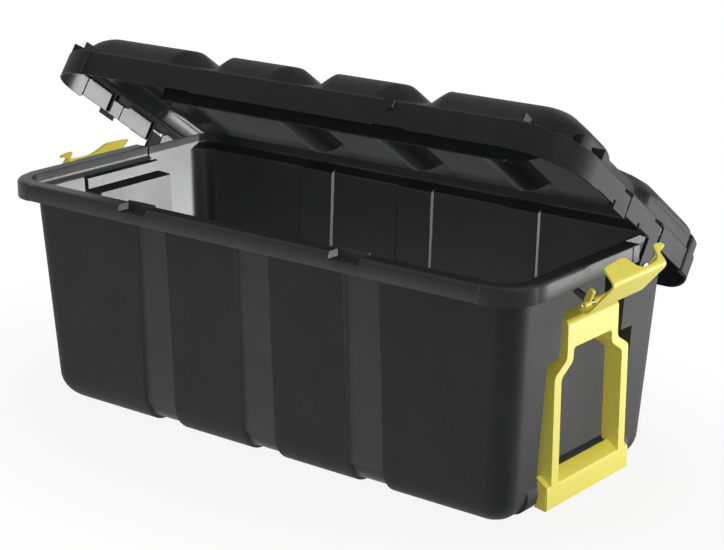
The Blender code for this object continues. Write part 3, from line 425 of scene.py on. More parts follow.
class Draft:
    """A mesh being gathered from surfaces, before it becomes one object."""

    def __init__(self, name: str) -> None:
        """Starts an empty mesh."""
        self.name = name
        self.points: list[Array] = []
        self.faces: list[list[int]] = []
        self.finishes: list[int] = []
        self.count = 0

    def _number(self, points: Array) -> int:
        """Stores points and returns the number of the first."""
        first = self.count
        self.points.append(points.reshape(-1, 3))
        self.count += points.reshape(-1, 3).shape[0]
        return first

    def sheet(self, grid: Array, finish: Union[int, Array] = 0, wrap: bool = False,
              first_cap: bool = False, last_cap: bool = False) -> "Draft":
        """Adds a grid of points as four-sided faces.

        Args:
            grid: (rows, columns, 3) points.
            finish: one finish number, or (rows - 1, columns or columns - 1) of them.
            wrap: whether the last column joins the first.
            first_cap: whether the first row is closed with one face.
            last_cap: whether the last row is closed with one face.

        Returns:
            This draft.
        """
        rows, columns = grid.shape[:2]
        first = self._number(grid)
        index = first + np.arange(rows * columns).reshape(rows, columns)
        if wrap:
            index = np.concatenate([index, index[:, :1]], axis=1)
        quads = np.stack([index[:-1, :-1], index[:-1, 1:], index[1:, 1:], index[1:, :-1]], axis=-1)
        numbers = np.broadcast_to(np.asarray(finish), quads.shape[:2]).reshape(-1)
        self.faces += quads.reshape(-1, 4).tolist()
        self.finishes += numbers.tolist()
        ends = ([index[0, :columns][::-1]] if first_cap else []) + ([index[-1, :columns]] if last_cap else [])
        for row in ends:
            self.faces.append(row.tolist())
            self.finishes.append(int(numbers[-1]))
        return self

    def prism(self, outline: Array, axis: int, start: float, end: float, finish: int = 0) -> "Draft":
        """Adds an outline extruded along one axis, closed at both ends.

        Args:
            outline: (n, 2) points on the two other axes, in the order of X, Y, Z.
            axis: the axis that it is extruded along, 0, 1 or 2.
            start: the first end's place on that axis.
            end: the last end's place.
            finish: the finish number.

        Returns:
            This draft.
        """
        others = [k for k in range(3) if k != axis]
        grid = np.zeros((2, len(outline), 3))
        grid[..., others[0]] = outline[:, 0]
        grid[..., others[1]] = outline[:, 1]
        grid[0, :, axis] = start
        grid[1, :, axis] = end
        return self.sheet(grid, finish, True, True, True)

    def rod(self, axis: int, centre: Sequence[float], start: float, end: float, radius: float,
            ease: float = 0.0, finish: int = 0, segments: int = 40) -> "Draft":
        """Adds a round bar along an axis, its rims eased by a small quarter round.

        Args:
            axis: the bar's axis, 0, 1 or 2.
            centre: any point on its axis.
            start: the first end's place on the axis.
            end: the last end's place.
            radius: the bar's radius.
            ease: the rims' rounding.
            finish: the finish number.
            segments: sides of the circle.

        Returns:
            This draft.
        """
        start, end = min(start, end), max(start, end)
        turn = np.linspace(0, math.pi / 2, 4 if ease else 1)
        along = np.concatenate([start + ease * (1 - np.cos(turn)), end - ease * (1 - np.cos(turn[::-1]))])
        widths = radius - ease * (1 - np.sin(turn))
        widths = np.concatenate([widths, widths[::-1]])
        angles = np.linspace(0, 2 * math.pi, segments, endpoint=False)
        others = [k for k in range(3) if k != axis]
        grid = np.zeros((len(along), segments, 3))
        grid[..., axis] = along[:, None]
        grid[..., others[0]] = centre[others[0]] + widths[:, None] * np.cos(angles)
        grid[..., others[1]] = centre[others[1]] + widths[:, None] * np.sin(angles)
        return self.sheet(grid, finish, True, True, True)

    def block(self, low: Sequence[float], high: Sequence[float], finish: int = 0) -> "Draft":
        """Adds a box between two corners, as a prism along Z."""
        outline = np.array([(low[0], low[1]), (high[0], low[1]), (high[0], high[1]), (low[0], high[1])])
        return self.prism(outline, 2, low[2], high[2], finish)

    def moved(self, matrix: Matrix) -> "Draft":
        """Moves every point gathered so far by a matrix."""
        turn = np.array(matrix)
        self.points = [rows @ turn[:3, :3].T + turn[:3, 3] for rows in self.points]
        return self

    def build(self, merge: float = 0.000002) -> bpy.types.Object:
        """Makes the object: doubles merged, flat slivers dropped, faces pointing outwards."""
        mesh = bpy.data.meshes.new(self.name)
        mesh.from_pydata(np.concatenate(self.points).tolist(), [], self.faces)
        mesh.polygons.foreach_set("material_index", np.array(self.finishes, np.int32))
        shape = bmesh.new()
        shape.from_mesh(mesh)
        bmesh.ops.remove_doubles(shape, verts=shape.verts, dist=merge)
        bmesh.ops.dissolve_degenerate(shape, edges=shape.edges, dist=merge)
        bmesh.ops.recalc_face_normals(shape, faces=shape.faces)
        shape.to_mesh(mesh)
        shape.free()
        mesh.update()
        made = bpy.data.objects.new(self.name, mesh)
        bpy.context.scene.collection.objects.link(made)
        return made


def carve(target: bpy.types.Object, tools: Sequence[Draft], operation: str) -> bpy.types.Object:
    """Joins closed shapes to a piece, or cuts them from it, and applies the result.

    Args:
        target: the piece.
        tools: the shapes, which may overlap each other.
        operation: UNION or DIFFERENCE.

    Returns:
        The piece, its mesh replaced.
    """
    group = bpy.data.collections.new("tools")
    bpy.context.scene.collection.children.link(group)
    made = [tool.build() for tool in tools]
    for item in made:
        bpy.context.scene.collection.objects.unlink(item)
        group.objects.link(item)
    step = target.modifiers.new("carve", "BOOLEAN")
    step.operation = operation
    step.operand_type = "COLLECTION"
    step.collection = group
    step.solver = "MANIFOLD"
    depsgraph = bpy.context.evaluated_depsgraph_get()
    result = bpy.data.meshes.new_from_object(target.evaluated_get(depsgraph))
    target.modifiers.clear()
    old, target.data = target.data, result
    bpy.data.meshes.remove(old)
    for item in made:
        bpy.data.objects.remove(item)
    bpy.data.collections.remove(group)
    return target


def dress(piece: bpy.types.Object, body: str, finishes: Sequence[bpy.types.Material],
          nodes: Sequence[str], sharp: float) -> None:
    """Finishes a piece: materials, smooth shading, the body it rides on and what it stands for.

    Args:
        piece: the finished shape, with its place in its mesh.
        body: the CAD body it rides on.
        finishes: its materials, by finish number.
        nodes: CAD nodes that it replaces.
        sharp: the angle in degrees past which an edge stays sharp.
    """
    numbers = np.zeros(len(piece.data.polygons), np.int32)
    piece.data.polygons.foreach_get("material_index", numbers)
    piece.data.materials.clear()
    for finish in finishes:
        piece.data.materials.append(finish)
    piece.data.polygons.foreach_set("material_index", np.minimum(numbers, len(finishes) - 1))
    piece.data.shade_smooth()
    piece.data.set_sharp_from_angle(angle=math.radians(sharp))
    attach(piece, body)
    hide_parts(*nodes)
    LOG.info("%s: %d faces on %s", piece.name, len(piece.data.polygons), body)


def places(low: float, high: float, spans: Iterable[tuple[float, float]], spacing: float,
           steps: int = 5) -> Array:
    """Places along a line, close together where the shape changes.

    Args:
        low: the first place.
        high: the last place.
        spans: where the shape changes, as (start, end); each gets steps places.
        spacing: the widest gap elsewhere.
        steps: places in each span.

    Returns:
        The places in rising order.
    """
    points = [low, high]
    for first, last in spans:
        points.extend(np.linspace(first, last, steps))
    kept = np.unique(np.round([point for point in points if low <= point <= high], 6))
    counts = np.maximum(1, np.ceil(np.diff(kept) / spacing)).astype(int)
    runs = [np.linspace(first, last, count, endpoint=False)
            for first, last, count in zip(kept[:-1], kept[1:], counts)]
    return np.concatenate(runs + [kept[-1:]])


@dataclass(frozen=True)
class TrunkPlan:
    """Measures that several pieces share, worked out from the CAD boxes and joints, in metres."""

    half_length: float
    side_top: float
    front_face: float
    rim_top: float
    lid_hinge: Vector
    latch_hinge: Vector
    pivot: Vector
    handle_top: float
    handle_front: float
    lid_reach: float
    wall: float = 0.003
    fence: float = 0.003
    rim_height: float = 0.0259
    lid_gap: float = 0.0016
    pitch: float = 0.1996
    rear_end: float = 0.065
    open_angle: float = math.radians(35.19)
    latch_tilt: float = math.radians(21.2)

    @classmethod
    def read(cls) -> "TrunkPlan":
        """Reads the CAD boxes and joints."""
        low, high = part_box("tub")
        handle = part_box("handle_right")[1]
        joints = {joint["name"]: Vector(joint["pos_m"]) for joint in frame["joints"]}
        return cls(half_length=high.x, side_top=high.y - cls.wall, front_face=-low.y,
                   rim_top=high.z - cls.fence, lid_hinge=joints["lid_hinge"],
                   latch_hinge=joints["latch_hinge_right"], pivot=joints["handle_hinge_right"],
                   handle_top=handle.z, handle_front=handle.x, lid_reach=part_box("lid")[1].x)

    @property
    def centres(self) -> tuple[float, float, float]:
        """The channels' and valleys' middles along the trunk."""
        return (-self.pitch, 0.0, self.pitch)

    @property
    def notches(self) -> tuple[float, float]:
        """The padlock notches' middles along the trunk."""
        return (-self.pitch, self.pitch)

    @property
    def flange(self) -> float:
        """The rim's width."""
        return self.front_face - self.side_top

    @property
    def end_top(self) -> float:
        """Half the opening's length."""
        return self.half_length - self.flange

    @property
    def rim_under(self) -> float:
        """The height of the rim's lower edge."""
        return self.rim_top - self.rim_height

    @property
    def lid_base(self) -> float:
        """The height of the closed lid's lower edge."""
        return self.rim_top + self.lid_gap

    def opened(self) -> Matrix:
        """The turn from the closed lid to the open one."""
        there = Matrix.Translation(self.lid_hinge)
        return there @ Matrix.Rotation(-self.open_angle, 4, "X") @ there.inverted()

    def tilted(self) -> Matrix:
        """The turn from the right latch closed to the latch at rest."""
        there = Matrix.Translation(self.latch_hinge)
        return there @ Matrix.Rotation(self.latch_tilt, 4, "Y") @ there.inverted()


@dataclass(frozen=True)
class Round:
    """Stations round a rounded rectangle, seen from above against the clock from the front left.

    A station on a straight side has its place along that side, and one on a corner has its direction.
    """

    kind: Array
    along: Array
    across: Array
    forward: Array

    @classmethod
    def of(cls, front: Array, right: Array, arc: int) -> "Round":
        """Stations from the places along the front and the right side, used for back and left as well.

        Args:
            front: places along X.
            right: places along Y.
            arc: pieces in each corner.

        Returns:
            The stations.
        """
        turn = np.radians(np.linspace(0, 90, arc + 1))[1:-1]
        kind, along, angle = [], [], []
        runs = [(0, front, -90), (1, right, 0), (0, front[::-1], 90), (1, right[::-1], 180)]
        for side, run, facing in runs:
            kind += [np.full(len(run), side), np.full(len(turn), 2)]
            along += [run, np.zeros(len(turn))]
            angle += [np.full(len(run), math.radians(facing)), turn + math.radians(facing)]
        angle = np.concatenate(angle)
        return cls(np.concatenate(kind), np.concatenate(along), np.cos(angle), np.sin(angle))

    def ring(self, length: Array, near: Array, far: Array, radius: Array) -> tuple[Array, Array]:
        """The stations' X and Y on one outline.

        Args:
            length: the outline's half-length.
            near: its front edge's Y.
            far: its back edge's Y.
            radius: its corners' radius.

        Returns:
            X and Y of every station.
        """
        inner = length - radius
        side = np.where(self.across > 0, 1.0, -1.0)
        x = np.where(self.kind == 0, np.clip(self.along, -inner, inner), side * inner + radius * self.across)
        edge = np.where(self.forward > 0, far - radius, near + radius)
        y = np.where(self.kind == 1, np.clip(self.along, near + radius, far - radius),
                     edge + radius * self.forward)
        return x, y


@dataclass
class Tub:
    """The moulded tub, with all that is moulded in one with it.

    Its shell is one grid: rings that run from the floor's inside up the inner wall, over the rim, down
    the outer wall and under the base.
    """

    plan: TrunkPlan
    panel: bpy.types.Material
    smooth: bpy.types.Material
    rim: bpy.types.Material
    corner: float = 0.035
    rounding: float = 0.047
    end_draft: float = 0.023
    side_draft: float = 0.0155
    flare_end: float = 0.0037
    flare_side: float = 0.0145
    flare_height: float = 0.013
    rim_round: float = 0.006
    latch_round: float = 0.002
    rear_step: float = 0.003
    channel_half: float = 0.031
    channel_depth: float = 0.0055
    channel_side: float = 0.0012
    recess_inset: float = 0.061
    recess_edge: float = 0.002
    recess_pad: float = 0.0012
    recess_wide: float = 0.1085
    recess_narrow: float = 0.0785
    recess_bottom: float = 0.060
    recess_shoulder: float = 0.226
    deep_top: float = 0.318
    shallow_depth: float = 0.006
    notch_half: float = 0.027
    notch_depth: float = 0.010
    notch_round: float = 0.001
    set_back: float = 0.0022
    corner_start: float = 0.4223
    corner_end: float = -0.180
    corner_fade: float = 0.002
    corner_drop: float = 0.0015
    corner_shrink: float = 0.7
    sole_inset: float = 0.006
    rim_ease: float = 0.0008
    foot_ease: float = 0.0007
    latch_half: float = 0.075
    latch_fade: float = 0.004
    step_start: float = 0.0024
    step_end: float = 0.0032
    groove: tuple[float, float] = (0.0465, 0.0485)
    groove_edge: float = 0.0012
    groove_depth: float = 0.0008
    sliver: float = 0.0003
    inner_widen: float = 0.0024
    ear_inner: float = 0.0995
    ear_width: float = 0.007
    eye_radius: float = 0.0085
    barrel_radius: float = 0.0275
    barrel_gap: float = 0.0013
    end_radius: float = 0.0283
    barrel_end: float = 0.0265
    sweep_below: float = 150.0
    sweep_above: float = 66.0
    sweep_margin: float = 7.0
    bar_reach: float = 0.022
    room_gap: float = 0.0015
    stub_room: float = 0.011
    stub_bore: float = 0.0043
    overlap: float = 0.001
    post_radius: float = 0.0045
    post_middle: float = 0.046
    post_width: float = 0.006
    pin_bore: float = 0.0023
    boss_radius: float = 0.009
    boss_inset: float = 0.007
    slot_length: float = 0.024
    slot_width: float = 0.008
    spacing: float = 0.016
    ring_spacing: float = 0.030
    bend_steps: int = 7
    corner_steps: int = 18
    stations: Round = field(init=False)

    def __post_init__(self) -> None:
        """Places the stations round the tub."""
        plan, sliver = self.plan, self.sliver
        before, after = 2.5 * self.channel_side, 3.75 * self.channel_side
        reach = self.channel_half + 0.5 * self.channel_side
        spans = []
        for middle in (reach, plan.pitch - reach, plan.pitch + reach):
            spans += mirrored(middle - before, middle + after)
        for edge in (plan.pitch - self.notch_half, plan.pitch + self.notch_half, self.corner_start):
            spans += mirrored(edge - sliver, edge + sliver)
        limit = plan.half_length - self.corner - plan.flange
        front = places(-limit, limit, spans, self.spacing, self.bend_steps)
        pad, edge = self.recess_pad, self.recess_edge + self.inner_widen
        spans = []
        for width in (self.recess_narrow, self.recess_wide):
            spans += mirrored(width - pad, width + edge + pad)
        inner_end, start, end = plan.rear_end - self.wall, self.groove[0], self.groove[1]
        spans += [(inner_end - sliver, inner_end + sliver), (plan.rear_end, plan.rear_end + 2 * sliver),
                  (plan.rear_end + self.step_start, plan.rear_end + self.step_end),
                  (start - self.groove_edge - sliver, start), (end, end + self.groove_edge + sliver)]
        limit = plan.front_face - self.corner - plan.flange
        right = places(-limit, limit, spans, self.spacing, self.bend_steps)
        self.stations = Round.of(front, right, self.corner_steps)

    @property
    def wall(self) -> float:
        """The moulding's thickness."""
        return self.plan.wall

    @property
    def floor_x(self) -> float:
        """The deep recess's face."""
        return self.plan.half_length - self.recess_inset

    def wall_at(self, height: float) -> tuple[float, float]:
        """The outer half-length and half-width of the drafted wall, which flares out under the rim."""
        plan = self.plan
        top_length = plan.end_top + self.wall
        top_width = plan.side_top + self.wall
        share = min(height / plan.rim_under, 1.0)
        flare = float(smooth_step(height, plan.rim_under, plan.rim_under + self.flare_height))
        length = top_length - self.flare_end - self.end_draft * (1 - share) + self.flare_end * flare
        width = top_width - self.flare_side - self.side_draft * (1 - share) + self.flare_side * flare
        return length, width

    def channels(self, widen: float) -> Array:
        """How far each station lies in a channel, from 0 beside it to 1 in it, its edges out by widen."""
        inside = np.zeros(len(self.stations.along))
        for centre in self.plan.centres:
            reach = np.abs(self.stations.along - centre) - widen
            beside = smooth_step(reach, self.channel_half, self.channel_half + self.channel_side)
            inside = np.maximum(inside, 1 - beside)
        return inside * (self.stations.kind == 0)

    def in_width(self, half: float, widen: float) -> Array:
        """How far each station on an end lies within a half-width."""
        reach = np.abs(self.stations.along) - widen
        return (1 - smooth_step(reach, half, half + self.recess_edge)) * (self.stations.kind == 1)

    def wall_ring(self, height: float, inner: bool) -> Array:
        """One ring of the wall, with its channels and the recesses in its ends.

        Args:
            height: the ring's height.
            inner: whether it lies on the inside, one wall's thickness in.

        Returns:
            Its points.
        """
        back = self.wall if inner else 0.0
        widen = self.inner_widen if inner else 0.0
        length, width = self.wall_at(height)
        rim_share = float(smooth_step(height, self.plan.rim_under, self.plan.rim_under + self.flare_height))
        radius = self.corner + (self.wall - back) * rim_share
        x, y = self.stations.ring(length - back, -(width - back), width - back, radius)
        depth = self.channel_depth * (1 - rim_share)
        y = y - np.where(self.stations.forward > 0, 1.0, -1.0) * depth * self.channels(widen)
        edge = self.recess_edge
        low = self.recess_bottom + edge - widen
        wide = self.in_width(self.recess_wide, widen)
        wide = wide * bump_between(height, low, self.recess_shoulder + widen, edge)
        narrow = self.in_width(self.recess_narrow, widen)
        deep = np.maximum(wide, narrow * bump_between(height, low, self.deep_top + widen, edge))
        shallow = narrow * (1 - deep)
        shallow = shallow * bump_between(height, low, self.plan.rim_under - edge + widen, edge)
        floor = self.floor_x - back
        inward = (length - back - floor) * deep + self.shallow_depth * shallow
        side = np.where(self.stations.across > 0, 1.0, -1.0)
        x = np.where(self.stations.kind == 1, side * (np.abs(x) - inward), x)
        x = self.stepped(x, y, rim_share, length - back)
        return np.stack([x, y, np.full(len(x), height)], 1)

    def stepped(self, x: Array, y: Array, share: float, length: float) -> Array:
        """The rim's X, drawn in by the rear step behind the flange."""
        behind = smooth_step(y, self.plan.rear_end + self.step_start, self.plan.rear_end + self.step_end)
        limit = length - self.rear_step * share * behind
        return np.clip(x, -limit, limit)

    def base_rings(self, inner: bool) -> list[Array]:
        """The rings of the rounding under the wall, from the floor up, channels following its curve."""
        back = self.wall if inner else 0.0
        length, width = self.wall_at(self.rounding)
        shares = self.channels(self.inner_widen if inner else 0.0)
        rings = []
        for angle in np.radians(np.linspace(0, 90, 10)[:-1]):
            reach = self.rounding - back
            inset = self.rounding - reach * math.sin(angle)
            height = self.rounding - reach * math.cos(angle)
            radius = self.corner * (1 - self.corner_shrink * inset / self.rounding)
            x, y = self.stations.ring(length - inset, inset - width, width - inset, radius)
            cut = self.channel_depth * shares
            y = y - np.where(self.stations.forward > 0, 1.0, -1.0) * cut * math.sin(angle)
            rings.append(np.stack([x, y, height + cut * math.cos(angle)], 1))
        flat = rings[0].copy()
        flat[:, 2] = back
        middle = np.abs(flat[:, 1]).max()
        flat[:, 1] *= (middle - self.sole_inset) / middle
        return [flat] + rings

    def wall_rings(self, inner: bool) -> list[Array]:
        """The rings of the upright wall, close together at the recesses' ledges."""
        widen, edge = self.inner_widen, self.recess_edge
        ledges = [(self.recess_bottom - widen, self.recess_bottom + edge),
                  (self.recess_shoulder, self.recess_shoulder + edge + widen),
                  (self.deep_top, self.deep_top + edge + widen),
                  (self.plan.rim_under - edge, self.plan.rim_under + widen),
                  (self.plan.rim_under, self.plan.rim_under + self.flare_height)]
        top = self.plan.rim_under + self.flare_height
        heights = places(self.rounding, top, ledges, self.ring_spacing, self.bend_steps)
        return [self.wall_ring(float(height), inner) for height in heights]

    def rim_rings(self) -> list[Array]:
        """The rings over the rim: inner edge, top, outer face, lower edge, and up its hollow behind.

        Behind the flange's end they close on the plain wall's edge. In a padlock notch the fence stands
        higher and the top lies lower. The corner pieces lie back from the straight ones.
        """
        plan, wall, stations, sliver = self.plan, self.wall, self.stations, self.sliver
        top, width = plan.rim_top, plan.flange
        x0, y0 = stations.ring(plan.half_length, -plan.front_face, plan.front_face, self.corner + width)
        on_front = (stations.forward < -0.99) & (stations.kind == 0)
        notch = near_any(x0, plan.notches, self.notch_half, sliver) * on_front
        corner = 1 - near_any(x0, (0.0,), self.corner_start, sliver)
        fade = self.corner_fade
        corner = corner * (1 - smooth_step(y0, self.corner_end - fade, self.corner_end + fade))
        inner_end = plan.rear_end - wall
        has_outer = 1 - smooth_step(y0, plan.rear_end, plan.rear_end + 2 * sliver)
        has_inner = 1 - smooth_step(y0, inner_end - sliver, inner_end + sliver)
        by_latch = 1 - smooth_step(np.abs(y0), self.latch_half, self.latch_half + self.latch_fade)
        rounding = self.rim_round + (self.latch_round - self.rim_round) * by_latch * (stations.kind == 1)
        groove = self.groove_depth * bump_between(y0, *self.groove, self.groove_edge)
        groove = groove * (stations.kind == 1) * (x0 > 0)

        def ring(offset: Array, height: Array, kept: Array, closed: float) -> Array:
            """A ring at an offset out from the rim's inner edge, closed to the wall where kept is 0."""
            reach = np.where(kept > 0.5, offset, closed)
            level = np.where(kept > 0.5, height, np.where(closed > wall / 2, top - wall / 3, top))
            x, y = stations.ring(plan.end_top + reach, -plan.side_top - reach, plan.side_top + reach,
                                 self.corner + reach)
            x = self.stepped(x, y, 1.0, plan.end_top + reach)
            return np.stack([x, y, level * np.ones(len(x))], 1)

        ease, fence = self.rim_ease, top + notch * plan.fence
        always = np.ones(len(x0))
        rings = [ring(0.0, fence - ease, always, 0.0),
                 ring(ease * 0.3, fence - ease * 0.3, always, 0.0),
                 ring(ease, fence, always, 0.0),
                 ring(wall - ease, fence, has_outer, wall - ease),
                 ring(wall, fence - notch * ease, has_outer, wall),
                 ring(wall + sliver * notch, top - notch * self.notch_depth, has_outer, wall)]
        reach = width - self.set_back * corner - groove
        plate = top - notch * self.notch_depth
        curve = np.where(notch > 0.5, self.notch_round, rounding)
        rings.append(ring((reach - curve) * 0.5 + wall * 0.5, plate, has_outer, wall))
        for angle in np.radians(np.linspace(0, 90, 6)):
            rings.append(ring(reach - curve * (1 - math.sin(angle)), plate - curve * (1 - math.cos(angle)),
                              has_outer, wall))
        under, foot = plan.rim_under - self.corner_drop * corner, self.foot_ease
        return rings + [ring(reach, under + foot, has_outer, wall),
                        ring(reach - foot * 0.3, under + foot * 0.3, has_outer, wall),
                        ring(reach - foot, under, has_outer, wall),
                        ring(reach - wall + foot, under, has_inner, wall),
                        ring(reach - wall, under + foot, has_inner, wall),
                        ring(reach - wall, plate - wall, has_inner, wall),
                        ring(wall, plate - wall, has_inner, wall)]

    def shell(self) -> bpy.types.Object:
        """The tub without what is joined to it, as one closed grid."""
        inner = self.base_rings(True) + self.wall_rings(True)
        rim = self.rim_rings()
        outer = self.base_rings(False) + self.wall_rings(False)
        grid = np.stack(inner + rim + outer[::-1])
        rows, count = len(grid), grid.shape[1]
        skin = np.full((rows - 1, count), Skin.RIM, np.int32)
        skin[:len(inner) - 1] = Skin.SMOOTH
        channel = self.channels(-self.channel_side)
        in_channel = channel + np.roll(channel, -1) > 0.2
        skin[len(inner) + len(rim):] = np.where(in_channel, Skin.RIM, Skin.PANEL)
        return Draft("trunk_tub").sheet(grid, skin, True, True, True).build()

    def handle_seat(self, side: End) -> tuple[list[Draft], list[Draft], list[Draft], list[Draft]]:
        """What carries a pull handle: a housing, the room for its swing, a barrel with its ends, and slots.

        Args:
            side: the trunk's end.

        Returns:
            Shapes to join, to cut, to join and to cut, in that order.
        """
        plan, wall = self.plan, self.wall
        centre = (plan.pivot.x, plan.pivot.z)
        radius = plan.handle_front - plan.pivot.x
        sweep = math.hypot(radius, self.bar_reach) + self.barrel_gap
        length = self.wall_at(self.rounding)[0]
        inside = 0.7 * wall
        base = arc_points((length - self.rounding, self.rounding), self.rounding - inside, -75, 0, 8)
        face = self.floor_x - inside
        shell = sweep + wall
        upper = math.degrees(math.acos((face - centre[0]) / shell))
        lower = 180 + math.degrees(math.asin((centre[1] - 0.6 * wall) / shell))
        housing = np.concatenate([base, [(base[-1][0], self.recess_bottom - inside),
                                         (face, self.recess_bottom - inside)],
                                  arc_points(centre, shell, upper, lower, 20)])
        room = np.concatenate([[centre], arc_points(centre, sweep, -self.sweep_below, self.sweep_above, 36)])
        ear_inner, ear_outer = self.ear_inner, self.ear_inner + self.ear_width
        reach = ear_outer + self.barrel_end + wall
        room_reach = ear_outer + self.room_gap
        below, above = self.sweep_margin - self.sweep_below, self.sweep_above - self.sweep_margin
        slot = np.concatenate([arc_points(centre, self.end_radius + wall, below, above, 24),
                               arc_points(centre, self.eye_radius + 0.5 * wall, above, 360 + below, 20)])
        middle, over = (ear_inner + ear_outer) / 2, self.overlap
        axle = (side.value * centre[0], 0, centre[1])
        rounds = [Draft("barrel").rod(1, axle, -middle, middle, self.barrel_radius, segments=64)]
        slots = []
        for across in (-1, 1):
            near, far = across * (middle + over), across * (ear_outer + self.barrel_end)
            rounds.append(Draft("barrel_end").rod(1, axle, near, far, self.end_radius, over, segments=64))
            near, far = sorted((across * (ear_inner - over), across * (ear_outer + over)))
            slots.append(self.across(side, slot, near, far))
            near, far = across * ear_outer, across * (ear_outer + self.stub_room)
            slots.append(Draft("bore").rod(1, axle, near, far, self.stub_bore))
        housing = self.across(side, housing, -reach, reach)
        room = self.across(side, room, -room_reach, room_reach)
        return [housing], [room], rounds, slots

    def across(self, side: End, outline: Array, start: float, end: float, finish: int = 0) -> Draft:
        """A prism along Y from an (x, z) outline drawn at the right end, for either end."""
        return Draft("prism").prism(outline * (side.value, 1), 1, start, end, finish)

    def latch_seat(self, side: End) -> list[Draft]:
        """The two posts that carry a latch's pin."""
        hinge = self.plan.latch_hinge
        root = self.wall_at(self.deep_top)[0] - self.shallow_depth - 0.4 * self.wall
        outline = np.concatenate([arc_points((hinge.x, hinge.z), self.post_radius, -90, 90, 14),
                                  [(root, self.deep_top + 2 * self.wall), (root, self.deep_top - self.wall)]])
        half = self.post_width / 2
        middles = [across * self.post_middle for across in (-1, 1)]
        return [self.across(side, outline, middle - half, middle + half, Skin.SMOOTH) for middle in middles]

    def latch_pin_bore(self, side: End) -> Draft:
        """The hole through both posts."""
        hinge = self.plan.latch_hinge
        reach = self.post_middle + self.post_width
        return Draft("bore").rod(1, (side.value * hinge.x, 0, hinge.z), -reach, reach, self.pin_bore)

    def lid_boss(self, side: End) -> Draft:
        """The boss beside the lid's arm, which carries the arm's pin."""
        hinge = self.plan.lid_hinge
        wall = self.wall_at(hinge.z)[0] - 0.5 * self.wall
        face = self.plan.half_length - self.boss_inset
        return Draft("boss").rod(0, (0, hinge.y, hinge.z), side.value * wall, side.value * face,
                                 self.boss_radius, 0.0006)

    def padlock_slot(self, centre: float) -> Draft:
        """The slot through a padlock notch's floor, its ends round."""
        middle = -(self.plan.side_top + self.wall + self.plan.front_face) / 2
        reach = self.slot_length / 2 - self.slot_width / 2
        ends = np.concatenate([arc_points((centre + reach, middle), self.slot_width / 2, -90, 90, 8),
                               arc_points((centre - reach, middle), self.slot_width / 2, 90, 270, 8)])
        return Draft("slot").prism(ends, 2, self.plan.rim_under, self.plan.rim_top)

    def build(self) -> None:
        """Makes the tub and dresses it."""
        tub = self.shell()
        steps = [self.handle_seat(side) for side in End]
        for k, operation in enumerate(("UNION", "DIFFERENCE", "UNION", "DIFFERENCE")):
            carve(tub, [shape for step in steps for shape in step[k]], operation)
        posts = [post for side in End for post in self.latch_seat(side)]
        carve(tub, posts + [self.lid_boss(side) for side in End], "UNION")
        cuts = [self.latch_pin_bore(side) for side in End]
        cuts += [self.padlock_slot(centre) for centre in self.plan.notches]
        carve(tub, cuts, "DIFFERENCE")
        dress(tub, "tub", [self.panel, self.smooth, self.rim], ["tub"], sharp=38.0)


